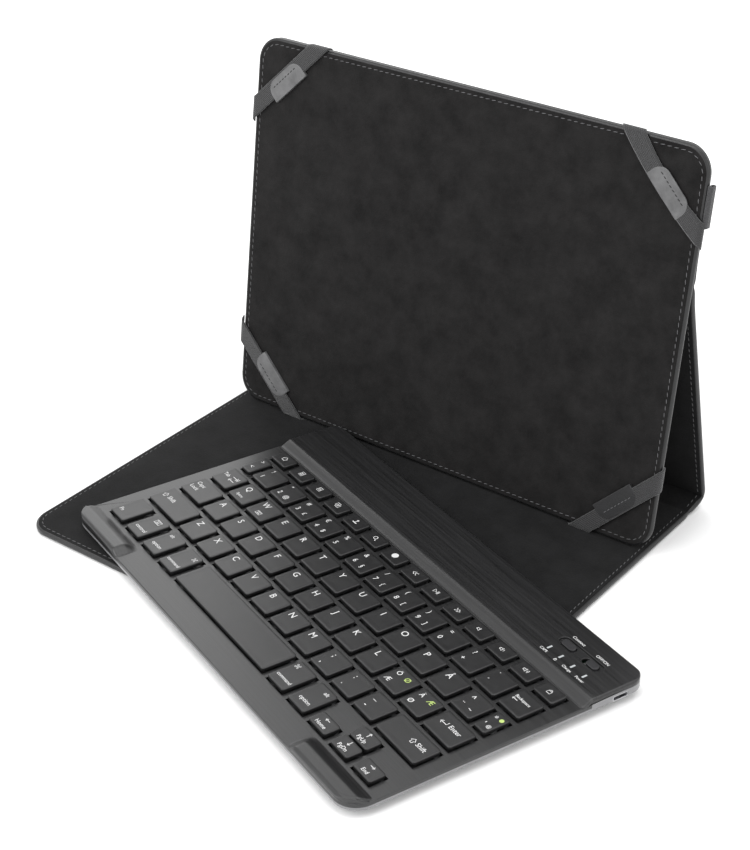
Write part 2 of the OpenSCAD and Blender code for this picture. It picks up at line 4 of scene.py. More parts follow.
import bmesh
import bpy
import numpy as np
from mathutils import Matrix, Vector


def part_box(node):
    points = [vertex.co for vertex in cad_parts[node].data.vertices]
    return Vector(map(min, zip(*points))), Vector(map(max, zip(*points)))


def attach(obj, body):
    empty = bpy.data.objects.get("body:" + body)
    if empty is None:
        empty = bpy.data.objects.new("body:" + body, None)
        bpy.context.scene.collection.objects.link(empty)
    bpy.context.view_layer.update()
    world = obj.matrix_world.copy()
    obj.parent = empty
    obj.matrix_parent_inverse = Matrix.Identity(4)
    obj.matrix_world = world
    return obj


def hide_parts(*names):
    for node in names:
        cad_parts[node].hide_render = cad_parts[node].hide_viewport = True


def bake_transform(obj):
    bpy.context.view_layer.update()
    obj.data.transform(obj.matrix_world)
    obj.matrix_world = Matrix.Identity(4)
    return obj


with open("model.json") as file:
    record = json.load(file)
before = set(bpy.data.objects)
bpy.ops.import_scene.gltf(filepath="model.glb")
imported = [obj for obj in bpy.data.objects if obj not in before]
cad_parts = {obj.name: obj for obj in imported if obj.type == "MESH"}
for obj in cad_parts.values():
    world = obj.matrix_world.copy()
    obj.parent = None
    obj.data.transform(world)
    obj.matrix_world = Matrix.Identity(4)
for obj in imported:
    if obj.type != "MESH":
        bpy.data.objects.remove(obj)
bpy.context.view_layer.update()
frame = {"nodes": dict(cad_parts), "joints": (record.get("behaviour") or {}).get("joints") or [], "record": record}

bl_info = {
    "name": "Tablet keyboard case",
    "version": (1, 0, 0),
    "blender": (4, 5, 0),
    "location": "3D View > Sidebar > Keyboard case",
    "description": "Leather skins, stitching, straps, key caps and legends for a folding tablet case",
    "category": "Object",
}

NODES = frame["nodes"]
MM = 0.001


# ---------------------------------------------------------------- settings

def colour(name, description, default):
    return bpy.props.FloatVectorProperty(
        name=name, description=description, subtype="COLOR", size=3, default=default)


def millimetres(name, description, default, low, high):
    return bpy.props.FloatProperty(
        name=name, description=description + ", in mm", default=default, min=low, max=high)


class CoverSettings(bpy.types.PropertyGroup):
    """Sizes and colours of the folding cover"""
    leather: colour("Leather", "Colour of the cover leather", (0.009, 0.009, 0.0095))
    suede: colour("Suede", "Colour of the panel's lining", (0.0115, 0.0110, 0.0110))
    lining: colour("Lining", "Colour of the base's and back's lining", (0.0085, 0.0085, 0.0088))
    thread: colour("Thread", "Colour of the sewing thread", (0.10, 0.10, 0.104))
    stitch_pitch: millimetres("Stitch pitch", "Distance from one stitch to the next", 3.4, 2.0, 6.0)
    stitch_length: millimetres("Stitch length", "Visible length of one stitch", 2.3, 1.0, 5.0)
    stitch_inset: millimetres("Stitch inset", "Distance of the seam from the leather's edge", 3.2, 2.0, 6.0)
    rim: millimetres("Turned edge", "Width of the leather turned over the lining's edge", 1.2, 0.6, 3.0)


class KeyboardSettings(bpy.types.PropertyGroup):
    """Sizes and colours of the keyboard"""
    plate: colour("Top cover", "Colour of the moulded top cover", (0.013, 0.013, 0.0135))
    cap: colour("Key caps", "Colour of the key caps", (0.0085, 0.0085, 0.009))
    legend: colour("Legends", "Colour of the printed legends", (0.62, 0.62, 0.62))
    second_legend: colour("Second legends", "Colour of the second-function legends", (0.42, 0.55, 0.16))
    cap_corner: millimetres("Cap corner", "Corner radius of a key cap in plan", 1.3, 0.5, 3.0)
    cap_round: millimetres("Cap edge", "Radius of a key cap's upper edge", 0.42, 0.1, 0.8)
    cover_round: millimetres("Cover edge", "Rounding of the covers' outer edges", 0.55, 0.1, 1.0)


class StageSettings(bpy.types.PropertyGroup):
    """Camera and light"""
    lens: bpy.props.FloatProperty(
        name="Lens", description="Focal length", default=88.5, min=20, unit="CAMERA")
    azimuth: bpy.props.FloatProperty(
        name="Azimuth", description="Turn of the view round the object, in degrees", default=36.92)
    elevation: bpy.props.FloatProperty(
        name="Elevation", description="Height of the view above the horizon, in degrees", default=30.573)
    roll: bpy.props.FloatProperty(
        name="Roll", description="Turn about the line of sight, in degrees", default=0.08)
    distance: bpy.props.FloatProperty(
        name="Distance", description="From the camera to its target", default=0.87957, unit="LENGTH")
    target: bpy.props.FloatVectorProperty(
        name="Target", description="Point that the camera looks at", size=3, unit="LENGTH",
        default=(0.00106, 0.01131, 0.050))
    light: bpy.props.FloatProperty(
        name="Light", description="Strength of the surroundings", default=1.0, min=0)


def cover_settings():
    return bpy.context.scene.case_cover


def keyboard_settings():
    return bpy.context.scene.case_keyboard


# ---------------------------------------------------------------- meshes

def mesh_piece(name, points, faces, material=None, uv=None):
    """A smooth mesh from an array of points in mm and rows of corner numbers; uv is one pair for each
    point."""
    mesh = bpy.data.meshes.new(name)
    mesh.from_pydata((np.asarray(points) * MM).tolist(), [], np.asarray(faces).tolist())
    mesh.polygons.foreach_set("use_smooth", np.ones(len(mesh.polygons), bool))
    if uv is not None:
        corner = np.empty(len(mesh.loops), np.int32)
        mesh.loops.foreach_get("vertex_index", corner)
        corner_uv = np.asarray(uv)[corner].astype(np.float32).ravel()
        mesh.uv_layers.new(name="UVMap").data.foreach_set("uv", corner_uv)
    if material is not None:
        mesh.materials.append(material)
    obj = bpy.data.objects.new(name, mesh)
    bpy.context.scene.collection.objects.link(obj)
    return obj


def grid_faces(rows, columns, round_columns=True):
    """Four-cornered faces of a grid of rows by columns; the columns close into a ring if round_columns."""
    r = np.arange(rows - 1)[:, None] * columns
    c = np.arange(columns if round_columns else columns - 1)[None, :]
    n = (c + 1) % columns
    return np.stack([r + c, r + n, r + columns + n, r + columns + c], -1).reshape(-1, 4)


def many(one, faces, count):
    """The faces of count copies of a shape that has one points each."""
    return (faces[None] + np.arange(count)[:, None, None] * one).reshape(-1, faces.shape[1])


WIDEST = 0.6


def refined(node, name, width, material, angle=28, wide=None):
    """A CAD node's mesh, merged and with its flat faces joined, whose sharp edges are rounded to width mm.
    wide gives each edge's own width instead, up to WIDEST, from its two ends in keyboard millimetres."""
    mesh = NODES[node].data.copy()
    mesh.name = name
    bm = bmesh.new()
    bm.from_mesh(mesh)
    bmesh.ops.remove_doubles(bm, verts=bm.verts, dist=2e-6)
    bmesh.ops.dissolve_limit(bm, angle_limit=math.radians(0.6), verts=bm.verts, edges=bm.edges)
    bm.verts.index_update()
    if wide:
        place = keyboard_inverse(np.array([v.co for v in bm.verts]) / MM)
        ends = np.array([[v.index for v in g.verts] for g in bm.edges])
        chosen = wide(place[ends[:, 0]], place[ends[:, 1]], width)
        weight = bm.edges.layers.float.new("bevel_weight_edge")
        for g, w in zip(bm.edges, chosen):
            sharp = g.is_manifold and g.calc_face_angle(0) > math.radians(angle)
            g[weight] = w / WIDEST if sharp else 0.0
    bm.to_mesh(mesh)
    bm.free()
    if mesh.attributes.get("custom_normal"):
        mesh.attributes.remove(mesh.attributes["custom_normal"])
    mesh.polygons.foreach_set("use_smooth", np.ones(len(mesh.polygons), bool))
    mesh.materials.clear()
    mesh.materials.append(material)
    obj = bpy.data.objects.new(name, mesh)
    bpy.context.scene.collection.objects.link(obj)
    bevel = obj.modifiers.new("Edges", "BEVEL")
    bevel.width = (WIDEST if wide else width) * MM
    bevel.segments = 3
    bevel.limit_method = "WEIGHT" if wide else "ANGLE"
    bevel.angle_limit = math.radians(angle)
    bevel.use_clamp_overlap = not wide
    normals = obj.modifiers.new("Normals", "WEIGHTED_NORMAL")
    normals.keep_sharp = False
    normals.weight = 60
    return obj


def close_ends(obj):
    """Closes open ends with flat faces whose outlines stay sharp, and turns all faces outwards."""
    bm = bmesh.new()
    bm.from_mesh(obj.data)
    bmesh.ops.remove_doubles(bm, verts=bm.verts, dist=1e-6)
    made = bmesh.ops.holes_fill(bm, edges=[g for g in bm.edges if g.is_boundary], sides=0)["faces"]
    for f in made:
        f.smooth = False
        for g in f.edges:
            g.smooth = False
    bmesh.ops.recalc_face_normals(bm, faces=bm.faces)
    bm.to_mesh(obj.data)
    bm.free()
    return obj


# ---------------------------------------------------------------- materials

def add_node(tree, kind, **inputs):
    """A new shader node of a kind, with some of its inputs set; their names have _ for each space."""
    made = tree.nodes.new("ShaderNode" + kind)
    for name, value in inputs.items():
        made.inputs[name.replace("_", " ")].default_value = value
    return made


def grain(tree, pattern, scale):
    """The node and output that a material's bump is made from: leather cells, woven ribs or noise."""
    if pattern == "CELLS":
        made = add_node(tree, "TexVoronoi", Scale=scale)
        made.feature = "SMOOTH_F1"
        made.inputs["Smoothness"].default_value = 0.6
        return made, made.outputs["Distance"]
    if pattern == "RIBS":
        made = add_node(tree, "TexWave", Scale=scale, Distortion=0.4)
        made.bands_direction = "Z"
        return made, made.outputs["Fac"]
    made = add_node(tree, "TexNoise", Scale=scale, Detail=5)
    return made, made.outputs["Fac"]


def material(name, colour, rough, noise=0.0, noise_scale=60.0, bump=0.0, bump_scale=900.0, sheen=0.0,
             specular=0.5, metallic=0.0, stretch=None, turn=0.0, pattern="NOISE", rough_spread=0.06,
             detail=6.0):
    """Principled surface on Object coordinates: its colour varies by noise, and its grain is a fine bump."""
    m = bpy.data.materials.new(name)
    m.use_nodes = True
    t = m.node_tree
    link = t.links.new
    b = t.nodes["Principled BSDF"]
    for key, value in (("Roughness", rough), ("Specular IOR Level", specular), ("Metallic", metallic),
                       ("Sheen Weight", sheen), ("Sheen Roughness", 0.45), ("Base Color", (*colour, 1))):
        b.inputs[key].default_value = value
    mapping = t.nodes.new("ShaderNodeMapping")
    mapping.vector_type = "TEXTURE"
    mapping.inputs["Rotation"].default_value = (0, 0, math.radians(turn))
    mapping.inputs["Scale"].default_value = stretch or (1, 1, 1)
    link(add_node(t, "TexCoord").outputs["Object"], mapping.inputs["Vector"])
    if noise:
        n = add_node(t, "TexNoise", Scale=noise_scale, Detail=detail, Roughness=0.72 if detail > 10 else 0.55)
        ramp = add_node(t, "ValToRGB")
        low, high = ramp.color_ramp.elements
        low.position, high.position = 0.3, 0.7
        low.color = (*np.array(colour) * (1 - noise), 1)
        high.color = (*np.minimum(np.array(colour) * (1 + noise), 1), 1)
        spread = add_node(t, "MapRange", To_Min=max(rough - rough_spread, 0.02),
                          To_Max=min(rough + rough_spread, 1))
        link(mapping.outputs[0], n.inputs["Vector"])
        link(n.outputs["Fac"], ramp.inputs["Fac"])
        link(ramp.outputs[0], b.inputs["Base Color"])
        link(n.outputs["Fac"], spread.inputs["Value"])
        link(spread.outputs[0], b.inputs["Roughness"])
    if bump:
        g, out = grain(t, pattern, bump_scale)
        k = add_node(t, "Bump", Strength=bump, Distance=0.0002)
        link(mapping.outputs[0], g.inputs["Vector"])
        link(out, k.inputs["Height"])
        link(k.outputs[0], b.inputs["Normal"])
    return m


def ribbed(name, colour, across):
    """Woven elastic: ribs that run along the piece, counted across its UV width, with a fine cross weave."""
    m = material(name, colour, 0.75, noise=0.25, noise_scale=900, sheen=0.25)
    t = m.node_tree
    link = t.links.new
    uv = add_node(t, "UVMap")
    uv.uv_map = "UVMap"
    split = add_node(t, "SeparateXYZ")
    link(uv.outputs[0], split.inputs[0])
    waves = []
    for axis, count in (("X", across * 2 * math.pi), ("Y", 2 * math.pi / 0.9)):
        k, wave = add_node(t, "Math"), add_node(t, "Math")
        k.operation, wave.operation = "MULTIPLY", "SINE"
        k.inputs[1].default_value = count
        link(split.outputs[axis], k.inputs[0])
        link(k.outputs[0], wave.inputs[0])
        waves.append(wave)
    join = add_node(t, "Math")
    join.operation = "MULTIPLY_ADD"
    join.inputs[1].default_value = 0.3
    link(waves[1].outputs[0], join.inputs[0])
    link(waves[0].outputs[0], join.inputs[2])
    bump = add_node(t, "Bump", Strength=0.6, Distance=0.0003)
    link(join.outputs[0], bump.inputs["Height"])
    link(bump.outputs[0], t.nodes["Principled BSDF"].inputs["Normal"])
    return m


FINISHES = {}


def finish(name):
    """The case's own materials, made once each."""
    if name in FINISHES:
        return FINISHES[name]
    c, k = cover_settings(), keyboard_settings()
    make = {
        "leather": lambda: material("cover_leather", tuple(c.leather), 0.36, 0.3, 45, 0.4, 1300,
                                    pattern="CELLS"),
        "suede": lambda: material("suede", tuple(c.suede), 0.95, 0.55, 75, 1.0, 1500, sheen=0.06,
                                  specular=0.15, detail=15),
        "lining": lambda: material("lining", tuple(c.lining), 0.9, 0.45, 80, 0.9, 1600, sheen=0.04,
                                   specular=0.15, detail=15),
        "thread": lambda: material("thread", tuple(c.thread), 0.7, 0.2, 1500, 0.4, 3000),
        "dark_thread": lambda: material("dark_thread", (0.012, 0.012, 0.012), 0.8, 0.2, 1500, 0.4, 3000),
        "strap": lambda: ribbed("strap_elastic", (0.024, 0.024, 0.025), 11),
        "loop": lambda: material("pen_elastic", (0.035, 0.035, 0.037), 0.7, 0.2, 500, 1.0, 420, sheen=0.2,
                                 pattern="RIBS"),
        "tab": lambda: material("tab_leather", (0.105, 0.105, 0.107), 0.42, 0.3, 160, 0.7, 420),
        "dark_tab": lambda: material("tab_leather_dark", (0.022, 0.022, 0.023), 0.45, 0.2, 70, 0.3, 1500,
                                     pattern="CELLS"),
        "plate": lambda: material("top_plate", tuple(k.plate), 0.34, 0.42, 1300, 0.2, 2600, specular=0.6,
                                  stretch=(60, 1, 1), turn=-20.4, rough_spread=0.08, detail=3),
        "under": lambda: material("bottom_shell", (0.20, 0.20, 0.205), 0.28, 0.1, 80, 0.15, 2500),
        "cap": lambda: material("key_cap", tuple(k.cap), 0.40, 0.15, 300, 0.12, 2600, specular=0.6),
        "control": lambda: material("control", (0.03, 0.03, 0.032), 0.35, 0.1, 90, 0.1, 2500),
        "legend": lambda: material("legend_print", tuple(k.legend), 0.6, 0.04, 400),
        "second": lambda: material("second_legend_print", tuple(k.second_legend), 0.6, 0.04, 400),
        # The contact film and the support frame are near black as painted shade: it darkens the gaps round the key
        # caps.
        "film": lambda: material("contact_film", (0.02, 0.02, 0.021), 0.4, 0.1, 300, 0.05, 900),
        "support": lambda: material("support_frame", (0.03, 0.03, 0.03), 0.5, 0.1, 300, 0.1, 900),
        "dome": lambda: material("dome", (0.25, 0.25, 0.26), 0.6, 0.08, 500, 0.1, 1500),
        "battery": lambda: material("battery_wrap", (0.25, 0.27, 0.3), 0.35, 0.08, 90, 0.2, 400),
        "circuit": lambda: material("circuit", (0.012, 0.035, 0.02), 0.4, 0.25, 500, 0.1, 900),
        "switch": lambda: material("switch_housing", (0.1, 0.1, 0.1), 0.5, 0.1, 300, 0.1, 900),
        "steel": lambda: material("steel", (0.6, 0.6, 0.62), 0.3, 0.1, 600, 0.1, 1500, metallic=1.0),
        "light": lambda: material("light_guide", (0.42, 0.44, 0.45), 0.3, 0.05, 300, 0.05, 900),
        "foot": lambda: material("foot", (0.02, 0.02, 0.021), 0.85, 0.1, 300, 0.3, 1500),
    }
    FINISHES[name] = make[name]()
    return FINISHES[name]


def dress(node, name):
    """Gives a CAD node, whose own mesh stays, one of the finishes."""
    o = NODES[node]
    if o.material_slots:
        for s in o.material_slots:
            s.material = finish(name)
    else:
        o.data.materials.append(finish(name))
    return o


# ---------------------------------------------------------------- the cover's course, seen from the side

def span(node, axis):
    """A CAD node's lowest and highest place along an axis, in mm."""
    return [round(corner[axis] / MM, 3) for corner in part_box(node)]


FOLDS = {j["name"]: np.round(np.array(j["pos_m"][1:]) / MM, 6)
         for j in frame["joints"] if j["name"].endswith("_fold")}
CREASE_1, CREASE_2, CREASE_3 = (FOLDS[name] for name in ("spine_fold", "back_fold", "panel_fold"))
(CASE_LEFT, CASE_RIGHT), (PANEL_LEFT, PANEL_RIGHT) = span("base_leather", 0), span("panel_leather", 0)
CASE_W, PANEL_W = CASE_RIGHT - CASE_LEFT, round(PANEL_RIGHT - PANEL_LEFT, 3)
PANEL_SHIFT = round((PANEL_LEFT + PANEL_RIGHT) / 2, 3)
UPPER_SHIFT = round(sum(span("flap_leather", 0)) / 2, 3)
CORNER_R = 13.0
COVER_T, FLAP_T = 2.8, 2.2
UPPER_H, PANEL_LOW = 64.7, 131.7
PANEL_MIDDLE, SUEDE_MIDDLE, SUEDE_FACE, PANEL_REAR = 3.55, 4.78, 5.04, 2.14
PANEL_A = math.radians(82.4)


def panel_point(x, y, z):
    """Panel place to row frame: x across, y up the panel from the top crease, z out of its front."""
    c, s = math.cos(PANEL_A), math.sin(PANEL_A)
    x, y, z = np.broadcast_arrays(np.asarray(x, float), y, z)
    return np.stack([x + PANEL_SHIFT, CREASE_3[0] + y * c - z * s, CREASE_3[1] + y * s + z * c], -1)


def cover_course():
    """The cover's middle line from the base's front edge to the upper edge: straight runs joined by
    short round bends, as distances s, points (Y, Z) and unit normals towards the inside."""
    up = np.array([math.cos(PANEL_A), math.sin(PANEL_A)])
    inside = np.array([-up[1], up[0]])
    front = np.array([span("base_leather", 1)[0], COVER_T / 2])
    corners = [front, CREASE_1, CREASE_2, CREASE_3 + inside * 0.5,
               CREASE_3 + up * UPPER_H + inside * FLAP_T / 2]
    step = 0.2
    runs = [a + (b - a) * (np.arange(0, 1, step / np.linalg.norm(b - a)))[:, None]
            for a, b in zip(corners[:-1], corners[1:])]
    line = np.concatenate(runs + [corners[-1][None]])
    reach = 40
    k = np.exp(-0.5 * (np.arange(-reach, reach + 1) * step / 1.5) ** 2)
    k /= k.sum()
    before = line[0] - (line[1] - line[0]) * np.arange(reach, 0, -1)[:, None]
    after = line[-1] + (line[-1] - line[-2]) * np.arange(1, reach + 1)[:, None]
    padded = np.concatenate([before, line, after])
    line = np.stack([np.convolve(padded[:, i], k, "valid") for i in (0, 1)], 1)
    s = np.concatenate([[0], np.cumsum(np.linalg.norm(np.diff(line, axis=0), axis=1))])
    d = np.gradient(line, s, axis=0)
    d /= np.linalg.norm(d, axis=1)[:, None]
    nearest = [s[np.argmin(np.linalg.norm(line - c, axis=1))] for c in corners[1:4]]
    return s, line, np.stack([-d[:, 1], d[:, 0]], 1), nearest


COURSE_S, COURSE, COURSE_N, (S1, S2, S3) = cover_course()
S_END = float(COURSE_S[-1])
MID_SPINE, MID_BACK = (S1 + S2) / 2, (S2 + S3) / 2


def on_cover(x, s, offset):
    """Cover place to row frame: x across, s along its middle line, offset towards the inside.
    The upper sections stand a little to the right of the base."""
    x, s, offset = np.broadcast_arrays(np.asarray(x, float), s, offset)
    y, z = (np.interp(s, COURSE_S, COURSE[:, i]) for i in (0, 1))
    ny, nz = (np.interp(s, COURSE_S, COURSE_N[:, i]) for i in (0, 1))
    shift = UPPER_SHIFT * np.clip((s - S1) / (S2 - S1), 0, 1)
    bulge = -1.1 * np.exp(-((s - S3) / 7.0) ** 2)
    offset = offset + bulge
    return np.stack([x + shift, y + ny * offset, z + nz * offset], -1)


def spacing(a, b, step, fine_a=False, fine_b=False, r=CORNER_R):
    """Distances from a to b: even, and closer together near an end that is rounded in plan."""
    arc = r * (1 - np.cos(np.linspace(0.45, math.pi / 2, 12)))
    quarter = np.concatenate([[0, 0.03, 0.12, 0.3, 0.55, 0.9], arc])
    steps = max(int((b - a) / step), 2) + 1
    parts = [np.linspace(a + (r if fine_a else 0), b - (r if fine_b else 0), steps)]
    if fine_a:
        parts.insert(0, a + quarter)
    if fine_b:
        parts.append(b - quarter[::-1])
    return np.unique(np.round(np.concatenate(parts), 4))


def flat_tube(name, place, s, half_w, half_t, edge, finish_name, across=20):
    """A flat sheet with round edges: at each s the section is a straight top and bottom joined by
    half rounds of depth edge, half_w wide and half_t thick each side of the middle."""
    turn = np.linspace(-math.pi / 2, math.pi / 2, 7)
    flat = np.linspace(1, -1, across + 1)[1:-1]
    unit_x = np.concatenate([np.ones(7), flat, -np.ones(7), -flat])
    unit_e = np.concatenate([np.cos(turn), np.zeros(len(flat)), -np.cos(turn), np.zeros(len(flat))])
    unit_z = np.concatenate([np.sin(turn), np.ones(len(flat)), np.sin(turn[::-1]), -np.ones(len(flat))])
    e = np.minimum(edge, half_w)[:, None]
    x = unit_x[None] * (half_w[:, None] - e) + unit_e[None] * e
    z = unit_z[None] * half_t[:, None]
    points = place(x, s[:, None], z)
    rows, columns = x.shape
    return close_ends(mesh_piece(name, points.reshape(-1, 3), grid_faces(rows, columns), finish(finish_name)))


def plan_width(s, a, b, width, r, round_a, round_b):
    """Half the width at s: the full half width, less the rounding of the corners within r of an end."""
    w = np.full_like(s, width / 2)
    for on, d in ((round_a, s - a), (round_b, b - s)):
        if on:
            k = np.clip(d, 0, r)
            w = np.minimum(w, width / 2 - r + np.sqrt(np.maximum(r * r - (r - k) ** 2, 0)))
    return w


def plan_thickness(s, a, b, t, edge, round_a, round_b):
    """Half the thickness at s, going to nothing in a half round at each rounded end."""
    h = np.full_like(s, t / 2)
    for on, d in ((round_a, s - a), (round_b, b - s)):
        if on:
            k = np.clip(d / edge, 0, 1)
            h = np.minimum(h, t / 2 * np.sqrt(np.maximum(1 - (1 - k) ** 2, 0)))
    return h


def pinch(s, h, by):
    """Thins h by by at each crease, over about 3 mm."""
    for c in (S1, S2, S3):
        h = h - by * np.exp(-((s - c) / 2.2) ** 2)
    return h


SPANS = (("base", "spine", 0, MID_SPINE), ("spine", "back", MID_SPINE, MID_BACK),
         ("back", "panel", MID_BACK, S_END))
CREASE_S = {"base": S1, "spine": S2, "back": S3}
BEND_REACH = 3.5


def crease_spacing(a, s0, s1, first, last, r=CORNER_R):
    """Distances along one length of the cover, half a millimetre apart on both sides of its crease."""
    s = spacing(s0, s1, 6, first, last, r)
    near = np.arange(CREASE_S[a] - 7, CREASE_S[a] + 7.01, 0.5)
    return np.unique(np.round(np.concatenate([s, near[(near > s0) & (near < s1)]]), 4))


def leather_thickness(s):
    """Thickness of the cover at s: the upper section has no lining of its own."""
    return np.interp(s, [0, S3 - 2, S3 + 2, S_END], [COVER_T, COVER_T, FLAP_T, FLAP_T])


def follow(obj, a, b):
    """Bakes obj's placement into its mesh; it works out the ends of a bend across the crease after section a but
    does not bend obj.
    """
    s = CREASE_S[a]
    ends = [on_cover(0, s + d, 0) * (0, MM, MM) for d in (-BEND_REACH, BEND_REACH)]
    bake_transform(obj)
    return obj


def make_cover_leather():
    """The outside leather in three lengths that meet in the middle of the spine and of the back."""
    stands_for = {"base": ("base_leather", "base_board", "spine_leather"),
                  "spine": ("back_leather", "back_board"),
                  "back": ("flap_leather", "flap_board")}
    for a, b, s0, s1 in SPANS:
        first, last = a == "base", b == "panel"
        s = crease_spacing(a, s0, s1, first, last)
        w = plan_width(s, s0, s1, CASE_W, CORNER_R, first, last)
        half = leather_thickness(s) / 2
        h = pinch(s, plan_thickness(s, s0, s1, 2, 1.1, first, last) * half, 0.4)
        h[[0, -1]] = [0 if first else h[0], 0 if last else h[-1]]
        w = w - 0.5 * np.exp(-((s - CREASE_S[a]) / 2.5) ** 2)
        obj = flat_tube("leather_" + a + "_" + b, on_cover, s, w, h, 1.2, "leather", across=28)
        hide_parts(*stands_for[a])
        follow(obj, a, b)


def make_cover_lining():
    """The inside lining of the base, spine and back, let into the leather's turned edge."""
    c = cover_settings()
    top = S3 - 2.0
    names = {"base": ("base_lining", "spine_lining"), "spine": ("back_lining",)}
    for a, b, s0, s1 in (("base", "spine", c.rim, MID_SPINE), ("spine", "back", MID_SPINE, MID_BACK),
                         ("back", None, MID_BACK, top)):
        first = a == "base"
        r = CORNER_R - c.rim
        s = crease_spacing(a, s0, s1, first, False, r) if b else spacing(s0, s1, 6, first, False, r)
        w = plan_width(s, s0, s1, CASE_W - 2 * c.rim, r, first, False)
        h = plan_thickness(s, s0, s1, 0.5, 0.25, first, False)
        deep = COVER_T / 2 - 0.25 + 0.10
        creased = sum(0.40 * np.exp(-((s - k) / 2.2) ** 2) for k in (S1, S2))
        place = lambda x, q, z: on_cover(x, q, z + deep - np.interp(q, s, creased))
        obj = flat_tube("lining_" + a, place, s, w, h, 0.25, "lining", across=28)
        if a in names:
            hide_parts(*names[a])
        if b:
            follow(obj, a, b)
        else:
            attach(obj, "back")


def panel_sheet(name, inset, thick, edge, level, finish_name):
    """A sheet of the panel's outline less inset, thick through, with its middle at level."""
    y0, y1, r = -PANEL_LOW + inset, UPPER_H - inset, CORNER_R - inset
    s = spacing(y0, y1, 8, True, True, r)
    w = plan_width(s, y0, y1, PANEL_W - 2 * inset, r, True, True)
    h = plan_thickness(s, y0, y1, thick, edge, True, True)
    place = lambda x, y, z: panel_point(x, y, z + level)
    return flat_tube(name, place, s, w, h, edge, finish_name, across=28)


def make_panel():
    """The tablet panel: a stiff leather plate with the suede lining let into its front."""
    obj = panel_sheet("panel_plate", 0, COVER_T, 1.2, PANEL_MIDDLE, "leather")
    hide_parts("panel_leather", "panel_board")
    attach(obj, "panel")
    obj = panel_sheet("panel_suede", cover_settings().rim, 0.5, 0.3, SUEDE_MIDDLE, "suede")
    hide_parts("panel_lining")
    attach(obj, "panel")


# ---------------------------------------------------------------- stitching

def border(width, a, b, r, inset, pitch):
    """Even steps round a rectangle with round corners, inset from its outline: places and directions."""
    w, r = width / 2 - inset, r - inset
    a, b = a + inset, b - inset
    t = np.linspace(0, math.pi / 2, 16)
    arcs = [((w - r, a + r), -math.pi / 2), ((w - r, b - r), 0), ((-w + r, b - r), math.pi / 2),
            ((-w + r, a + r), math.pi)]
    line = np.concatenate([np.stack([x + r * np.cos(t + k), y + r * np.sin(t + k)], 1)
                           for (x, y), k in arcs])
    line = np.concatenate([line, line[:1]])
    d = np.concatenate([[0], np.cumsum(np.linalg.norm(np.diff(line, axis=0), axis=1))])
    count = int(round(d[-1] / pitch))
    q = (np.arange(count) + 0.5) * d[-1] / count
    at = np.stack([np.interp(q, d, line[:, i]) for i in (0, 1)], 1)
    ahead = np.stack([np.interp((q + 0.2) % d[-1], d, line[:, i]) for i in (0, 1)], 1)
    go = ahead - at
    return at, go / np.linalg.norm(go, axis=1)[:, None]


def stitches(name, place, at, go, side, length, body, crease=None, width=0.42, thread="thread"):
    """One closed grain of thread for each place: its section is an ellipse that swells and closes
    along the seam, half sunk in the surface. Its slight turn from the seam is the same on every stitch."""
    u = np.array([-1, -0.75, 0, 0.75, 1])
    r = np.array([0.05, 0.75, 1, 0.75, 0.05])
    v = np.arange(5) / 5 * 2 * math.pi
    lean, height, lift = 0.14, 0.3, 0.02
    go = np.stack([go[:, 0] * math.cos(lean) - go[:, 1] * math.sin(lean),
                   go[:, 0] * math.sin(lean) + go[:, 1] * math.cos(lean)], 1)
    side_way = np.stack([-go[:, 1], go[:, 0]], 1)
    along = (u * length / 2)[None, :, None]
    across = (r[:, None] * np.cos(v)[None])[None] * width / 2
    up = (r[:, None] * np.sin(v)[None])[None] * height / 2
    x = at[:, 0, None, None] + go[:, 0, None, None] * along + side_way[:, 0, None, None] * across
    y = at[:, 1, None, None] + go[:, 1, None, None] * along + side_way[:, 1, None, None] * across
    z = np.broadcast_to(side * lift + up, x.shape)
    points = place(x, y, z).reshape(-1, 3)
    obj = close_ends(mesh_piece(name, points, many(25, grid_faces(5, 5), len(at)), finish(thread)))
    if crease:
        follow(obj, *crease)
    else:
        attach(obj, body)
    return obj


def make_stitching():
    """The seam round the cover, on both of its faces, and the seam round the panel, on both of its."""
    c = cover_settings()
    at, go = border(CASE_W, 0, S_END, CORNER_R, c.stitch_inset, c.stitch_pitch)
    for a, b, s0, s1 in SPANS:
        near = (at[:, 1] >= s0) & (at[:, 1] < s1) & (np.abs(at[:, 1] - CREASE_S[a]) > 2.4)
        outer = lambda x, s, z: on_cover(x, s, z - leather_thickness(s) / 2)
        stitches("seam_outside_" + a, outer, at[near], go[near], -1, c.stitch_length, None, (a, b))
        near &= at[:, 1] < S3 - 5
        inner = lambda x, s, z: on_cover(x, s, z + COVER_T / 2 + 0.1)
        stitches("seam_inside_" + a, inner, at[near], go[near], 1, c.stitch_length,
                 "back", (a, b) if a != "back" else None)
    at, go = border(PANEL_W, -PANEL_LOW, UPPER_H, CORNER_R, c.stitch_inset, c.stitch_pitch)
    front = lambda x, y, z: panel_point(x, y, z + SUEDE_FACE)
    stitches("seam_panel_front", front, at, go, 1, c.stitch_length, "panel")
    low = at[:, 1] < -4
    rear = lambda x, y, z: panel_point(x, y, z + PANEL_REAR)
    stitches("seam_panel_rear", rear, at[low], go[low], -1, c.stitch_length, "panel")


# ---------------------------------------------------------------- straps and tabs

STRAP_W, STRAP_REACH = 8.4, 37.4
TAB_SLIDE = {"top_left": 0.0, "top_right": 3.7, "bottom_left": -2.6, "bottom_right": 0.0}
STRAP_BOW = {"top_left": 0.0, "top_right": 2.4, "bottom_left": 0.0, "bottom_right": 0.0}


def wrap(d, r):
    """A strip laid over an edge: how far out and how far down it is at d past the start of a bend of
    radius r."""
    a = np.clip(d / r, 0, math.pi / 2)
    out = np.where(d > 0, r * np.sin(a), d)
    down = np.where(d > 0, r * (1 - np.cos(a)) + np.maximum(d - r * math.pi / 2, 0), 0)
    return out, down


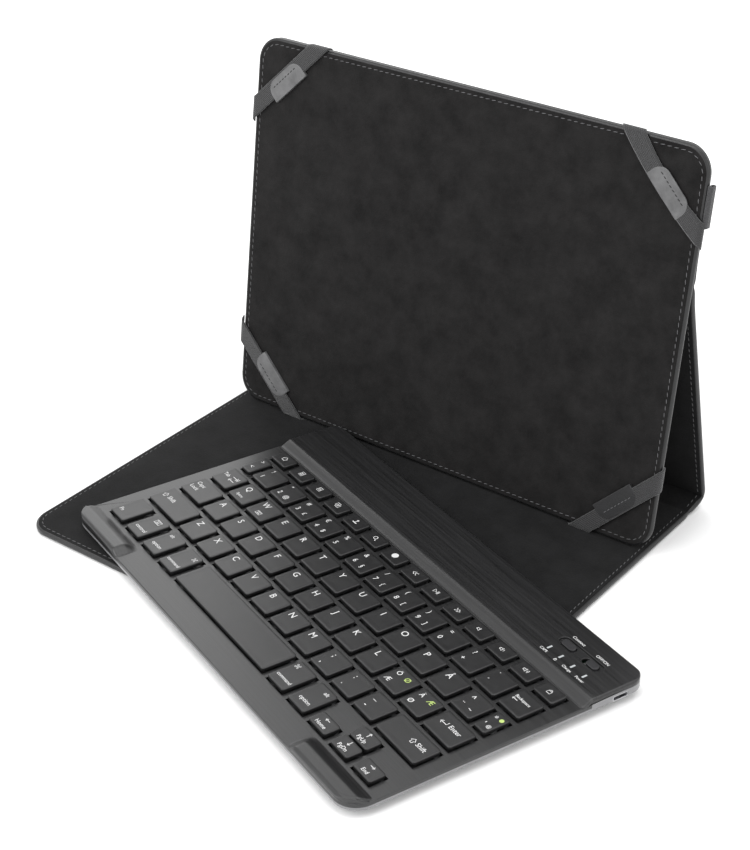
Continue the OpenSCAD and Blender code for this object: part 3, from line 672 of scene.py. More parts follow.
def corner_signs(corner):
    """Which way the panel's outline lies from its middle at a corner, and the height of its edge there."""
    up = 1 if "top" in corner else -1
    return (-1 if "left" in corner else 1), up, (UPPER_H if up > 0 else -PANEL_LOW)


def on_diagonal(along, inward):
    """A place on the line across a corner: along it from its middle, and in towards the panel's middle.
    It is given from the panel's middle line and from the edge, for the top right corner."""
    middle = STRAP_REACH / 2
    return (PANEL_W / 2 - middle + along / math.sqrt(2) - inward / math.sqrt(2),
            -middle - along / math.sqrt(2) - inward / math.sqrt(2))


def make_strap(corner):
    """An elastic band laid straight across a corner at 45 degrees and carried over both edges of the
    panel: its middle line and its width span the surface, and whatever passes an edge bends down it."""
    side, up, edge_y = corner_signs(corner)
    u = np.linspace(-STRAP_W / 2, STRAP_W / 2, 15)[None]
    t = np.linspace(-1, 1, 61)[:, None]
    past, bend, front, hang, thick = 2.7, 1.1, 5.85, 3.3, 0.8
    along = t * (STRAP_REACH / 2 * math.sqrt(2) + u + past)
    x, y = on_diagonal(along, u + STRAP_BOW[corner] * (1 - t ** 2))
    start = PANEL_W / 2 - bend + 0.5
    out_x, down_x = wrap(x - start, bend)
    out_y, down_y = wrap(y - (start - PANEL_W / 2), bend)
    px, py = start + out_x, start - PANEL_W / 2 + out_y
    z = front - np.minimum(np.maximum(down_x, down_y), hang)
    points = panel_point(side * px, edge_y + up * py, z)
    uv = np.stack([np.broadcast_to((u / STRAP_W + 0.5), x.shape), along + 0 * u], -1)
    rows, columns = x.shape
    faces = grid_faces(rows, columns, False)
    if side * up > 0:
        faces = faces[:, ::-1]
    obj = mesh_piece("band_" + corner, points.reshape(-1, 3), faces, finish("strap"), uv.reshape(-1, 2))
    solid = obj.modifiers.new("Thickness", "SOLIDIFY")
    solid.thickness = thick * MM
    solid.offset = -1
    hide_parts("strap_" + corner)
    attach(obj, "panel")


def make_tab(corner):
    """A folded leather tab: the CAD piece with softened edges, and a row of thread along its fold."""
    dark = corner == "bottom_right"
    node = "grip_tab_" + corner
    obj = refined(node, "tab_" + corner, 0.3, finish("dark_tab" if dark else "tab"))
    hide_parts(node)
    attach(obj, "panel")
    side, up, edge_y = corner_signs(corner)
    count, pitch, front = 8, 2.3, 6.7
    along = (np.arange(count) - (count - 1) / 2) * pitch + TAB_SLIDE[corner]
    x, y = on_diagonal(along, 0.6 if dark else -0.4)
    at = np.stack([side * x, edge_y + up * y], 1)
    go = np.tile(np.array([[side, -up * 1.0]]) / math.sqrt(2), (count, 1))
    place = lambda px, py, pz: panel_point(px, py, pz + front)
    stitches("tab_seam_" + corner, place, at, go, 1, 1.6, "panel", width=0.5,
             thread="thread" if dark else "dark_thread")


# ---------------------------------------------------------------- keyboard

KB_W, KB_TURN = 250.0, math.radians(-20.4)
KB_X, KB_Y, KB_Z = -108.9, -84.5, 2.9
KEY_W, KEY_D, NARROW, KEY_GAP, ROW_GAP, HALF_GAP = 14.25, 13.8, 7.4, 3.1, 3.4, 1.0
FN_W, FN_D, BOTTOM_D, KEY_FRONT = 12.8, 8.6, 17.3, 15.0
PLATE_TOP, BAR_TOP = 4.2, 6.7
COVE_FRONT, COVE_REAR = 114.5, 122.6
OUTLINE_R, RIDGE_REAR, RIDGE_END = 11, 13.6, 48
PRINT_LIFT = 0.02


def keyboard_point(x, y, z):
    """Keyboard place to row frame: x along it from its left end, y back from its front, z up."""
    c, s = math.cos(KB_TURN), math.sin(KB_TURN)
    x, y, z = np.broadcast_arrays(np.asarray(x, float), y, z)
    return np.stack([KB_X + x * c - y * s, KB_Y + x * s + y * c, KB_Z + z], -1)


def keyboard_inverse(points):
    """Row frame millimetres back to keyboard places."""
    c, s = math.cos(KB_TURN), math.sin(KB_TURN)
    p = points - np.array([KB_X, KB_Y, KB_Z])
    return np.stack([p[:, 0] * c + p[:, 1] * s, -p[:, 0] * s + p[:, 1] * c, p[:, 2]], 1)


def cover_edges(a, b, width):
    """Edge widths of the top cover: fine at the key openings and the controls, finest at the light slots
    and at the seam with the bottom cover, and width elsewhere."""
    low, high = np.minimum(a, b), np.maximum(a, b)
    w = np.full(len(a), width)
    field = (low[:, 1] > 14) & (high[:, 1] < COVE_FRONT) & (low[:, 0] > 7) & (high[:, 0] < KB_W - 7)
    w[field] = 0.22
    w[(high[:, 1] < 14) & ((high[:, 0] < 50) | (low[:, 0] > KB_W - 50))] = 0.05
    controls = (low[:, 0] > 207) & (high[:, 0] < 240) & (low[:, 1] > 124.5) & (high[:, 1] < 140)
    w[controls] = 0.22
    w[controls & (high[:, 1] < 130)] = 0.04
    w[high[:, 2] < 3.5] = 0.05
    return w


def make_cove():
    """The moulded rise from the plate to the bar: its height follows an even S curve across it, and its
    ends drop in a quarter round to the outline. Its underside is flat, just under the plate."""
    rise, end_r, lowest, under = BAR_TOP - PLATE_TOP + 0.02, 1.3, 3.9, 3.85
    y = np.linspace(COVE_FRONT, COVE_REAR, 25)
    t = np.clip((y - COVE_FRONT - 0.2) / 6.5, 0, 1)
    z = PLATE_TOP + rise * t * t * (3 - 2 * t) + 0.015
    end = np.array([0.02, 0.06, 0.16, 0.34, 0.6, 0.95])
    d = np.concatenate([end, np.linspace(end_r, KB_W - end_r, 60), KB_W - end[::-1]])
    near = np.clip(np.minimum(d, KB_W - d), 0, end_r)
    drop = end_r - np.sqrt(np.maximum(end_r ** 2 - (end_r - near) ** 2, 0))
    top = np.maximum(z[None] - drop[:, None], lowest)
    profile_y = np.concatenate([y, [COVE_REAR, COVE_FRONT]])
    profile_z = np.concatenate([top, np.full((len(d), 2), under)], 1)
    points = keyboard_point(d[:, None], profile_y[None], profile_z)
    faces = grid_faces(len(d), len(profile_y))
    obj = close_ends(mesh_piece("bar_cove", points.reshape(-1, 3), faces, finish("plate")))
    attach(obj, "keyboard")


def make_ridge(name, right):
    """A front ridge: a rounded nose along the cover's outline, a crest, and S curves down to the plate
    behind it and at its inner end. d is the distance from the outline, which it passes by a hair."""
    r, hair, nose_w, nose_h, crest, lowest, under = OUTLINE_R, 0.03, 1.9, 1.92, 6.76, 4.1, 3.9
    quarter = 1 - np.cos(np.linspace(0, math.pi / 2, 22))
    x = np.unique(np.concatenate([(r + hair) * quarter - hair, np.linspace(r, 39, 10),
                                  np.linspace(40, RIDGE_END, 17)]))[:, None]
    front = r - np.sqrt(np.maximum((r + hair) ** 2 - (r - np.minimum(x, r)) ** 2, 0))
    v = np.concatenate([(1 - np.cos(np.linspace(0, math.pi / 2, 14))) * 0.35, np.linspace(0.4, 1, 18)])[None]
    y = front + v * (RIDGE_REAR - front)
    d = np.where((x < r) & (y < r), r - np.hypot(r - x, r - y), np.minimum(x, y))
    nose = np.sqrt(np.maximum(1 - (1 - np.clip(d / nose_w, 0, 1)) ** 2, 0))
    fall = lambda t: 1 - np.clip(t, 0, 1) ** 2 * (3 - 2 * np.clip(t, 0, 1))
    body = fall((x - 40.6) / 6.4) * fall((y - 5.8) / 7.2)
    z = np.maximum(crest - nose_h * (1 - nose) - 2.6 * (1 - body), lowest)
    y = np.concatenate([y, y[:, -1:], y[:, :1]], 1)
    z = np.concatenate([z, np.full((len(x), 2), under)], 1)
    x = KB_W - x if right else x
    points = keyboard_point(x, y, z)
    obj = close_ends(mesh_piece(name, points.reshape(-1, 3), grid_faces(*y.shape), finish("plate")))
    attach(obj, "keyboard")


def key_plan():
    """The caps of each node as rows of x, y, width and depth."""
    pitch = KEY_W + KEY_GAP
    field_w = NARROW + KEY_GAP + 12 * pitch + KEY_W
    fx = (KB_W - field_w) / 2 + 0.6
    lower = KEY_FRONT + BOTTOM_D + ROW_GAP
    middle = lower + KEY_D + ROW_GAP
    upper = middle + KEY_D + ROW_GAP
    number = upper + KEY_D + ROW_GAP
    function = number + KEY_D + ROW_GAP
    fp = (field_w - FN_W) / 13
    caps_w = (field_w - 11 * pitch - KEY_GAP) / 2
    shift_w = (field_w - 10 * pitch - KEY_GAP) / 2
    half = (BOTTOM_D - HALF_GAP) / 2
    run = lambda x, y, n: [[x + i * pitch, y, KEY_W, KEY_D] for i in range(n)]
    grid = lambda i, y, d: [fx + i * fp, y, FN_W, d]
    return {
        "keys_function": [grid(i, function, FN_D) for i in range(14)],
        "keys_number": [[fx, number, NARROW, KEY_D]] + run(fx + NARROW + KEY_GAP, number, 12),
        "key_backspace": [[fx + field_w - KEY_W, number, KEY_W, KEY_D]],
        "key_tab": [[fx, upper, KEY_W, KEY_D]],
        "keys_upper_letters": run(fx + pitch, upper, 12) + [[fx + field_w - NARROW, upper, NARROW, KEY_D]],
        "key_caps_lock": [[fx, middle, caps_w, KEY_D]],
        "keys_middle_letters": run(fx + caps_w + KEY_GAP, middle, 11),
        "key_enter": [[fx + field_w - caps_w, middle, caps_w, KEY_D]],
        "key_left_shift": [[fx, lower, shift_w, KEY_D]],
        "keys_lower_letters": run(fx + shift_w + KEY_GAP, lower, 10),
        "key_right_shift": [[fx + field_w - shift_w, lower, shift_w, KEY_D]],
        "keys_modifier": [grid(i, KEY_FRONT, BOTTOM_D) for i in (0, 1, 2, 3, 9, 10)],
        "key_space": [[fx + 4 * fp, KEY_FRONT, 4 * fp + FN_W, BOTTOM_D]],
        "keys_arrow": [grid(11, KEY_FRONT, half), grid(12, KEY_FRONT, half), grid(13, KEY_FRONT, half),
                       grid(12, KEY_FRONT + half + HALF_GAP, half)],
    }


def make_caps(node, keys):
    """Each cap is a stack of rounded rectangles: straight sides, a quarter round at the upper edge and a
    slightly hollow top that closes in its middle."""
    k = keyboard_settings()
    low, high = (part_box(node)[i][2] / MM - KB_Z for i in (0, 1))
    r, e = k.cap_corner, k.cap_round
    t = np.linspace(0, math.pi / 2, 5)
    inset = np.concatenate([[0.05, 0, 0], e * (1 - np.cos(t[1:])), [1.4, 3.0]])
    level = np.concatenate([[low, low + 0.05, high - e], high - e + e * np.sin(t[1:]),
                            [high - 0.04, high - 0.07]])
    keys = np.array(keys)
    a = np.linspace(0, math.pi / 2, 6)[None, None, None] + np.arange(4)[None, None, :, None] * math.pi / 2
    sx = np.array([1, -1, -1, 1])[None, None, :, None]
    sy = np.array([1, 1, -1, -1])[None, None, :, None]
    half_w, half_d = (keys[:, i, None, None, None] / 2 for i in (2, 3))
    ins = inset[None, :, None, None]
    rr = np.maximum(r - ins, 0.15)
    lim_w = np.maximum(half_w - ins, 0.3)
    lim_d = np.maximum(half_d - ins, 0.3)
    x = keys[:, 0, None, None, None] + half_w + sx * (lim_w - rr) + rr * np.cos(a)
    y = keys[:, 1, None, None, None] + half_d + sy * (lim_d - rr) + rr * np.sin(a)
    z = np.broadcast_to(level[None, :, None, None], x.shape)
    count, levels = x.shape[:2]
    points = keyboard_point(x, y, z).reshape(-1, 3)
    faces = many(levels * 24, grid_faces(levels, 24), count)
    obj = mesh_piece("caps_" + node.split("_", 1)[1], points, faces, finish("cap"))
    close_ends(obj)
    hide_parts(node)
    return obj


def glyph_mesh(text, size, x, y):
    """Points and faces, in keyboard millimetres, of a word laid flat round x, y: a text curve made a mesh."""
    curve = bpy.data.curves.new("word", "FONT")
    curve.body = text
    curve.size = size
    curve.align_x = "CENTER"
    curve.align_y = "CENTER"
    curve.resolution_u = 3
    curve.offset = 0.022
    o = bpy.data.objects.new("word", curve)
    bpy.context.scene.collection.objects.link(o)
    bpy.context.view_layer.update()
    mesh = bpy.data.meshes.new_from_object(o.evaluated_get(bpy.context.evaluated_depsgraph_get()))
    n = len(mesh.vertices)
    co = np.empty(n * 3, np.float32)
    mesh.vertices.foreach_get("co", co)
    co = co.reshape(-1, 3)[:, :2]
    faces = [list(p.vertices) for p in mesh.polygons]
    bpy.data.objects.remove(o)
    bpy.data.curves.remove(curve)
    bpy.data.meshes.remove(mesh)
    return co + np.array([x, y]), faces


def stroke(points, width, closed=False):
    """A flat line of even width through points: two rows of corners joined by four-cornered faces."""
    p = np.array(points, float)
    if closed:
        d = np.roll(p, -1, 0) - np.roll(p, 1, 0)
    else:
        d = np.gradient(p, axis=0)
    d /= np.linalg.norm(d, axis=1)[:, None]
    n = np.stack([-d[:, 1], d[:, 0]], 1) * width / 2
    m = len(p)
    i = np.arange(m if closed else m - 1)
    j = (i + 1) % m
    return np.concatenate([p - n, p + n]), np.stack([i, j, j + m, i + m], 1).tolist()


def dot(x, y, r):
    """A filled round spot as one many-sided face."""
    t = np.arange(20) / 20 * 2 * math.pi
    return np.stack([x + r * np.cos(t), y + r * np.sin(t)], 1), [list(range(20))]


def ring(x, y, r, width=0.36, a=0, b=2 * math.pi):
    """A round stroke, whole or in part."""
    whole = abs(b - a - 2 * math.pi) < 1e-6
    t = np.linspace(a, b, 20, endpoint=not whole)
    return stroke(np.stack([x + r * np.cos(t), y + r * np.sin(t)], 1), width, whole)


def icon(kind, x, y, s=1.0):
    """A small generic sign about 3 mm high, as strokes."""
    line = lambda *p, w=0.38, closed=False: stroke([(x + a * s, y + b * s) for a, b in p], w, closed)
    box = lambda a, b, c, d: line((a, b), (c, b), (c, d), (a, d), closed=True)
    if kind.startswith("to_"):
        turn = {"left": math.pi, "right": 0, "up": math.pi / 2, "down": -math.pi / 2}[kind[3:]]
        c, q = math.cos(turn), math.sin(turn)
        put = lambda *p: line(*[(a * c - b * q, a * q + b * c) for a, b in p], w=0.36)
        return [put((-1.5, 0), (1.5, 0)), put((0.6, 0.8), (1.6, 0), (0.6, -0.8))]
    if kind in ("back", "next"):
        f = -1 if kind == "back" else 1
        return [line((a * f, -0.9), ((a + 1.3) * f, 0), (a * f, 0.9)) for a in (-1.2, 0.1)]
    if kind in ("mute", "soft", "loud"):
        waves = ("mute", "soft", "loud").index(kind)
        body = line((-1.5, -0.4), (-0.8, -0.4), (-0.1, -1), (-0.1, 1), (-0.8, 0.4), (-1.5, 0.4), closed=True)
        return [body] + [ring(x, y, (0.8 + 0.6 * i) * s, 0.25, -0.7, 0.7) for i in range(waves)]
    if kind == "command":
        loops = [ring(x + i * 0.85 * s, y + j * 0.85 * s, 0.4 * s, 0.22) for i in (-1, 1) for j in (-1, 1)]
        return loops + [line((-0.45, -0.85), (-0.45, 0.85)), line((0.45, -0.85), (0.45, 0.85)),
                        line((-0.85, -0.45), (0.85, -0.45)), line((-0.85, 0.45), (0.85, 0.45))]
    signs = {
        "home": lambda: [line((-1.4, 0), (0, 1.3), (1.4, 0)), line((-1, 0), (-1, -1.1), (1, -1.1), (1, 0))],
        "disc": lambda: [dot(x, y, 1.5 * s)],
        "sheet": lambda: [box(-1, -1.3, 1, 1.3), line((-1, 0.4), (1, 0.4)), line((0, 0.4), (0, -1.3)),
                          line((-1, -0.45), (1, -0.45))],
        "note": lambda: [box(-1, -1.2, 1, 1.2), ring(x, y, 0.5 * s, 0.3)],
        "pictures": lambda: [box(-1.4, -0.4, 0.6, 1.3), box(-0.6, -1.2, 1.4, 0.5),
                             dot(x + 0.3 * s, y - 0.3 * s, 0.5)],
        "figure": lambda: [dot(x, y + 0.8 * s, 0.5 * s), line((0, 0.4), (0, -0.6), w=0.4),
                           line((-1.3, -1.0), (1.3, -1.0), w=0.6)],
        "search": lambda: [ring(x - 0.3 * s, y + 0.3 * s, 0.9 * s), line((0.35, -0.35), (1.3, -1.3), w=0.4)],
        "keys": lambda: [box(-1.6, -0.9, 1.6, 0.9), line((-0.8, -0.3), (0.8, -0.3)),
                         line((-1.1, 0.35), (1.1, 0.35), w=0.2)],
        "play": lambda: [line((-1.3, -0.9), (0.1, 0), (-1.3, 0.9), closed=True),
                         line((0.8, -0.9), (0.8, 0.9)), line((1.4, -0.9), (1.4, 0.9))],
        "lock": lambda: [box(-0.9, -1.2, 0.9, 0.2), ring(x, y + 0.3 * s, 0.6 * s, 0.28, 0, math.pi)],
        "shift": lambda: [line((-0.6, -1.2), (0.6, -1.2), (0.6, 0), (1.3, 0), (0, 1.4), (-1.3, 0), (-0.6, 0),
                               closed=True)],
        "enter": lambda: [line((1.4, 1.1), (1.4, -0.2), (-1.2, -0.2)),
                          line((-0.5, 0.5), (-1.3, -0.2), (-0.5, -0.9))],
        "erase": lambda: [line((-1.8, 0), (1.6, 0)), line((-1.0, 0.8), (-1.8, 0), (-1.0, -0.8))],
        "tab": lambda: [line((-1.8, 0), (1.2, 0)), line((0.5, 0.8), (1.3, 0), (0.5, -0.8)),
                        line((1.7, -0.9), (1.7, 0.9))],
    }
    return signs[kind]()


def print_on(name, shapes, z, finish_name, body):
    """Joins flat shapes into one print that lies a hair above the surface at height z."""
    if not shapes:
        return None
    points, faces, n = [], [], 0
    for p, f in shapes:
        points.append(np.column_stack([p, np.full(len(p), z)]))
        faces += [[i + n for i in q] for q in f]
        n += len(p)
    p = np.concatenate(points)
    world = keyboard_point(p[:, 0], p[:, 1], p[:, 2])
    mesh = bpy.data.meshes.new(name)
    mesh.from_pydata((world * MM).tolist(), [], faces)
    mesh.materials.append(finish(finish_name))
    bm = bmesh.new()
    bm.from_mesh(mesh)
    bm.normal_update()
    down = [f for f in bm.faces if f.normal.z < 0]
    bmesh.ops.reverse_faces(bm, faces=down)
    bm.to_mesh(mesh)
    bm.free()
    obj = bpy.data.objects.new(name, mesh)
    bpy.context.scene.collection.objects.link(obj)
    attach(obj, body)
    return obj


NODE_BODY = {n: b for b, ns in frame["record"]["behaviour"]["bodies"].items() for n in ns}
FUNCTION_SIGNS = ("home", "sheet", "note", "pictures", "figure", "search", "disc",
                  "back", "play", "next", "mute", "soft", "loud", "lock")


def key_legends(node, keys):
    """White and coloured legends of one group of caps as two lists of flat shapes. Letters stand 4.2 mm from
    a cap's left edge and 4.2 mm below its rear one; words keep to its corners."""
    white, second = [], []
    left = lambda text, size, k, x, y: white.append(glyph_mesh(text, size, k[0] + x, k[1] + k[3] - y))
    if node == "keys_function":
        for k, kind in zip(keys, FUNCTION_SIGNS):
            white += icon(kind, k[0] + k[2] / 2 - 0.2, k[1] + k[3] - 4.0, 1.15)
    elif node == "keys_number":
        for i, (k, low, high) in enumerate(zip(keys, "<1234567890+\u00b4", ">!\"#\u20ac%&/()=?`")):
            left(low, 3.8, k, 3.6 if i else 3.2, 9.6)
            left(high, 3.6, k, 3.6 if i else 3.2, 3.2)
        for i, t in ((2, "@"), (3, "\u00a3"), (4, "$"), (6, "\u00a7"), (7, "{"), (8, "["), (9, "]")):
            left(t, 3.4, keys[i], 9.4, 9.6)
    elif node == "keys_upper_letters":
        for k, t in zip(keys[:11], "QWERTYUIOP\u00c5"):
            left(t, 4.7, k, 4.2, 4.2)
        left("Space", 2.3, keys[0], 6.0, 10.4)
        white += icon("keys", keys[1][0] + 7.4, keys[1][1] + 3.3, 1.1)
        left("^", 4.4, keys[11], 4.2, 4.4)
        left("\u00a8", 4.2, keys[11], 4.2, 10.2)
        left("~", 3.4, keys[11], 9.6, 9.8)
        left("*", 4.0, keys[12], 2.2, 4.2)
        left("'", 4.0, keys[12], 2.2, 10.0)
        left("@", 2.4, keys[12], 5.4, 9.8)
        k = keys[12]
        second.append(dot(k[0] + 5.4, k[1] + k[3] - 3.2, 1.1))
    elif node == "keys_middle_letters":
        for k, t in zip(keys[:9], "ASDFGHJKL"):
            left(t, 4.7, k, 4.2, 4.2)
        for k, t, o, q in ((keys[9], "\u00d6", "\u00c6", "\u00d8"), (keys[10], "\u00c4", "\u00d8", "\u00c6")):
            left(t, 3.6, k, 3.4, 4.0)
            left(o, 3.7, k, 3.4, 10.0)
            second.append(glyph_mesh(q, 3.9, k[0] + 9.4, k[1] + k[3] - 4.0))
    elif node == "keys_lower_letters":
        for k, t in zip(keys[:7], "ZXCVBNM"):
            left(t, 4.7, k, 4.2, 4.2)
        for k, a, b in zip(keys[7:], ";:_", ",.-"):
            left(a, 4.4, k, 4.2, 3.6)
            left(b, 4.4, k, 4.2, 9.8)
    elif node == "keys_modifier":
        k = keys
        left("Fn", 3.0, k[0], 3.4, 12.6)
        white += icon("keys", k[1][0] + 7.0, k[1][1] + k[1][3] - 3.6, 1.3)
        left("control", 2.9, k[1], 6.8, 12.6)
        left("alt", 2.9, k[2], 4.2, 3.2)
        left("option", 2.9, k[2], 6.6, 12.6)
        white += icon("command", k[3][0] + 10.2, k[3][1] + k[3][3] - 3.6, 0.9)
        left("command", 2.6, k[3], 6.4, 12.6)
        white += icon("command", k[4][0] + 2.6, k[4][1] + k[4][3] - 3.6, 0.9)
        left("command", 2.6, k[4], 6.4, 12.6)
        left("alt", 2.9, k[5], 8.6, 3.2)
        left("option", 2.9, k[5], 6.6, 12.6)
    elif node == "keys_arrow":
        for k, kind, t in zip(keys, ("left", "down", "right", "up"), ("Home", "PgDn", "End", "PgUp")):
            white += icon("to_" + kind, k[0] + 6.2, k[1] + k[3] - 2.2, 0.9)
            left(t, 2.8, k, 6.2, 5.9)
    else:
        k = keys[0]
        if node == "key_backspace":
            left("Backspace", 2.3, k, 6.4, 5.2)
            white += icon("erase", k[0] + 3.6, k[1] + k[3] - 7.2, 0.9)
        elif node == "key_tab":
            left("Tab", 2.9, k, 3.4, 6.4)
            white += icon("tab", k[0] + 9.6, k[1] + k[3] - 5.0, 1.3)
            white += icon("erase", k[0] + 9.8, k[1] + k[3] - 7.8, 1.3)
        elif node == "key_caps_lock":
            left("Caps", 3.2, k, 5.2, 4.6)
            left("Lock", 3.2, k, 5.0, 8.6)
        elif node == "key_enter":
            white += icon("enter", k[0] + 5.2, k[1] + k[3] - 6.2, 1.4)
            left("Enter", 3.4, k, 12.4, 5.8)
        elif node == "key_left_shift":
            white += icon("shift", k[0] + 3.4, k[1] + k[3] - 6.2, 1.1)
            left("Shift", 3.4, k, 9.2, 6.0)
        elif node == "key_right_shift":
            white += icon("shift", k[0] + k[2] - 11.4, k[1] + k[3] - 6.2, 1.1)
            left("Shift", 3.4, k, k[2] - 6.0, 6.0)
    return white, second


# ---------------------------------------------------------------- operators

class CASE_OT_cover_leather(bpy.types.Operator):
    """Make the outside leather of the base, spine, back and upper section"""
    bl_idname = "case.cover_leather"
    bl_label = "Cover leather"

    def execute(self, context):
        make_cover_leather()
        return {"FINISHED"}


class CASE_OT_cover_lining(bpy.types.Operator):
    """Make the inside lining of the base, spine and back"""
    bl_idname = "case.cover_lining"
    bl_label = "Cover lining"

    def execute(self, context):
        make_cover_lining()
        return {"FINISHED"}


class CASE_OT_panel(bpy.types.Operator):
    """Make the tablet panel and its suede"""
    bl_idname = "case.panel"
    bl_label = "Tablet panel"

    def execute(self, context):
        make_panel()
        return {"FINISHED"}


class CASE_OT_stitching(bpy.types.Operator):
    """Sew the cover and the panel"""
    bl_idname = "case.stitching"
    bl_label = "Stitching"

    def execute(self, context):
        make_stitching()
        return {"FINISHED"}


class CASE_OT_straps(bpy.types.Operator):
    """Make the four corner straps, their leather tabs and the pen loop's weave"""
    bl_idname = "case.straps"
    bl_label = "Straps and tabs"

    def execute(self, context):
        for corner in TAB_SLIDE:
            make_strap(corner)
            make_tab(corner)
        loop = refined("pen_loop", "pen_loop_weave", 0.25, finish("loop"))
        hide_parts("pen_loop")
        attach(loop, "panel")
        return {"FINISHED"}


class CASE_OT_covers(bpy.types.Operator):
    """Make the keyboard's top and bottom covers, and dress the parts inside and under them"""
    bl_idname = "case.covers"
    bl_label = "Keyboard covers"

    def execute(self, context):
        k = keyboard_settings()
        top = refined("keyboard_top_cover", "top_cover", k.cover_round, finish("plate"), angle=30,
                      wide=cover_edges)
        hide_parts("keyboard_top_cover")
        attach(top, "keyboard")
        make_cove()
        make_ridge("front_ridge_left", False)
        make_ridge("front_ridge_right", True)
        low = refined("keyboard_bottom_cover", "bottom_cover", 0.4, finish("under"), angle=30)
        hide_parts("keyboard_bottom_cover")
        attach(low, "keyboard")
        # The film and support finishes carry painted shade for the gaps round the key caps.
        for node, name in (("key_contact_sheet", "film"), ("key_supports", "support"),
                           ("key_domes", "dome"), ("battery", "battery"), ("circuit_board", "circuit"),
                           ("usb_socket", "steel"), ("light_pipes", "light"),
                           ("connect_switch_body", "switch"), ("power_switch_body", "switch"),
                           ("keyboard_feet", "foot"), ("cover_screws", "steel")):
            dress(node, name)
        return {"FINISHED"}


class CASE_OT_controls(bpy.types.Operator):
    """Make the connect button and the power switch, with the signs beside them"""
    bl_idname = "case.controls"
    bl_label = "Controls"

    def execute(self, context):
        for node, body in (("connect_button", "connect_button"), ("power_switch", "power_switch")):
            o = refined(node, node + "_moulding", 0.22, finish("control"))
            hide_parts(node)
            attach(o, body)
        rear, front = 140.3, 123.9
        signs = [glyph_mesh(t, size, x, y) for t, size, x, y in (
            ("Connect", 2.3, 215.2, rear), ("OFF/ON", 2.3, 231.4, rear), ("CAPS", 2.0, 211.2, front),
            ("Charge", 2.0, 227.3, front), ("Power", 2.0, 236.0, front))]
        signs += icon("lock", 219.6, front, 0.6)
        print_on("control_signs", signs, BAR_TOP + 0.03, "legend", "keyboard")
        return {"FINISHED"}


class CASE_OT_caps(bpy.types.Operator):
    """Mould the key caps and print their legends"""
    bl_idname = "case.caps"
    bl_label = "Key caps"

    def execute(self, context):
        for node, keys in key_plan().items():
            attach(make_caps(node, keys), NODE_BODY[node])
            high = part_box(node)[1][2] / MM - KB_Z
            white, second = key_legends(node, keys)
            group = node.split("_", 1)[1]
            print_on("legend_" + group, white, high + PRINT_LIFT, "legend", NODE_BODY[node])
            print_on("second_legend_" + group, second, high + PRINT_LIFT, "second", NODE_BODY[node])
        return {"FINISHED"}


LAMPS = (("front_soft", (-0.7, -1.5, 1.3), 1.4, 20), ("top_soft", (0.2, 0.1, 1.9), 1.6, 14),
         ("right_soft", (1.7, -0.4, 0.9), 1.0, 6), ("rear_left_soft", (-1.25, 1.0, 1.0), 1.1, 7))


def set_place(obj, right, up, back, at):
    """Puts a lamp or a camera at a place, given its three directions; it looks along -back."""
    m = np.eye(4)
    m[:3, 0], m[:3, 1], m[:3, 2], m[:3, 3] = right, up, back, at
    obj.matrix_world = Matrix(m.tolist())


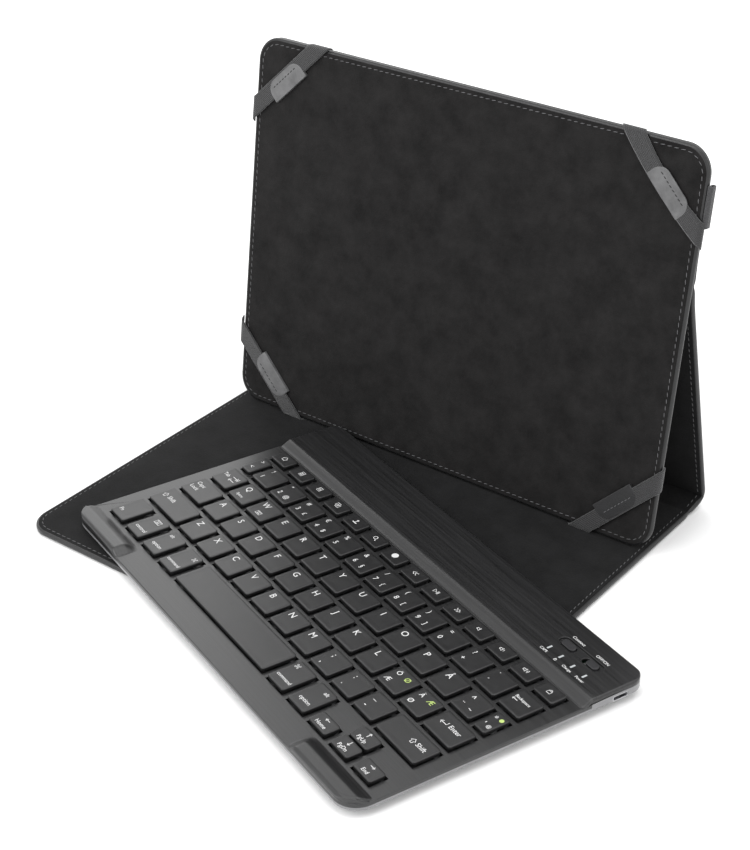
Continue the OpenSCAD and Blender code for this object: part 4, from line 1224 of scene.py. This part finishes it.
class CASE_OT_stage(bpy.types.Operator):
    """Set the floor, the soft light and the camera"""
    bl_idname = "case.stage"
    bl_label = "Stage"

    def execute(self, context):
        g = context.scene.case_stage
        n, reach, level = 24, 6000, -0.3
        q = np.stack(np.meshgrid(np.linspace(-1, 1, n), np.linspace(-1, 1, n)), -1).reshape(-1, 2) * reach
        paper = material("floor_paper", (0.93, 0.93, 0.93), 0.9, 0.01, 3, 0.02, 20, specular=0.1)
        points = np.column_stack([q, np.full(len(q), level)])
        floor = mesh_piece("floor", points, grid_faces(n, n, False), paper)
        context.scene.view_settings.view_transform = "Standard"
        world = context.scene.world or bpy.data.worlds.new("Studio")
        context.scene.world = world
        world.use_nodes = True
        back = world.node_tree.nodes.get("Background")
        back.inputs["Color"].default_value = (1, 1, 1, 1)
        back.inputs["Strength"].default_value = g.light
        for name, at, size, power in LAMPS:
            data = bpy.data.lights.new(name, "AREA")
            data.energy = power
            data.size = size
            lamp = bpy.data.objects.new(name, data)
            context.scene.collection.objects.link(lamp)
            v = np.array([0, 0, 0.08]) - np.array(at)
            v /= np.linalg.norm(v)
            side = np.cross(v, [0, 0, 1.0])
            side /= np.linalg.norm(side)
            set_place(lamp, side, np.cross(side, v), -v, at)
        a, e, r = (math.radians(d) for d in (g.azimuth, g.elevation, g.roll))
        back_way = np.array([math.sin(a) * math.cos(e), -math.cos(a) * math.cos(e), math.sin(e)])
        right = np.array([math.cos(a), math.sin(a), 0])
        up = np.cross(back_way, right)
        right, up = right * math.cos(r) + up * math.sin(r), up * math.cos(r) - right * math.sin(r)
        data = bpy.data.cameras.new("camera")
        data.lens = g.lens
        data.sensor_width = 36
        data.sensor_fit = "HORIZONTAL"
        data.clip_start, data.clip_end = 0.01, 100
        data.dof.use_dof = False
        camera = bpy.data.objects.new("camera", data)
        context.scene.collection.objects.link(camera)
        set_place(camera, right, up, back_way, np.array(g.target) + back_way * g.distance)
        context.scene.camera = camera
        return {"FINISHED"}


class CASE_PT_build(bpy.types.Panel):
    """Lists the steps that build the case"""
    bl_label = "Keyboard case"
    bl_idname = "CASE_PT_build"
    bl_space_type = "VIEW_3D"
    bl_region_type = "UI"
    bl_category = "Keyboard case"

    def draw(self, context):
        for step in STEPS:
            self.layout.operator("case." + step)
        for name in ("case_cover", "case_keyboard", "case_stage"):
            group = getattr(context.scene, name)
            box = self.layout.box()
            for key in group.__annotations__:
                box.prop(group, key)


STEPS = ("stage", "cover_leather", "cover_lining", "panel", "stitching", "straps", "covers", "controls",
         "caps")
CLASSES = (CoverSettings, KeyboardSettings, StageSettings, CASE_OT_stage, CASE_OT_cover_leather,
           CASE_OT_cover_lining, CASE_OT_panel, CASE_OT_stitching, CASE_OT_straps, CASE_OT_covers,
           CASE_OT_controls, CASE_OT_caps, CASE_PT_build)


def register():
    for c in CLASSES:
        bpy.utils.register_class(c)
    bpy.types.Scene.case_cover = bpy.props.PointerProperty(type=CoverSettings)
    bpy.types.Scene.case_keyboard = bpy.props.PointerProperty(type=KeyboardSettings)
    bpy.types.Scene.case_stage = bpy.props.PointerProperty(type=StageSettings)


def unregister():
    for name in ("case_cover", "case_keyboard", "case_stage"):
        delattr(bpy.types.Scene, name)
    for c in reversed(CLASSES):
        bpy.utils.unregister_class(c)


def main():
    """Builds the case step by step."""
    register()
    bpy.ops.case.stage()
    bpy.ops.case.cover_leather()
    bpy.ops.case.cover_lining()
    bpy.ops.case.panel()
    bpy.ops.case.stitching()
    bpy.ops.case.straps()
    bpy.ops.case.covers()
    bpy.ops.case.controls()
    bpy.ops.case.caps()


if __name__ == "__main__":
    main()
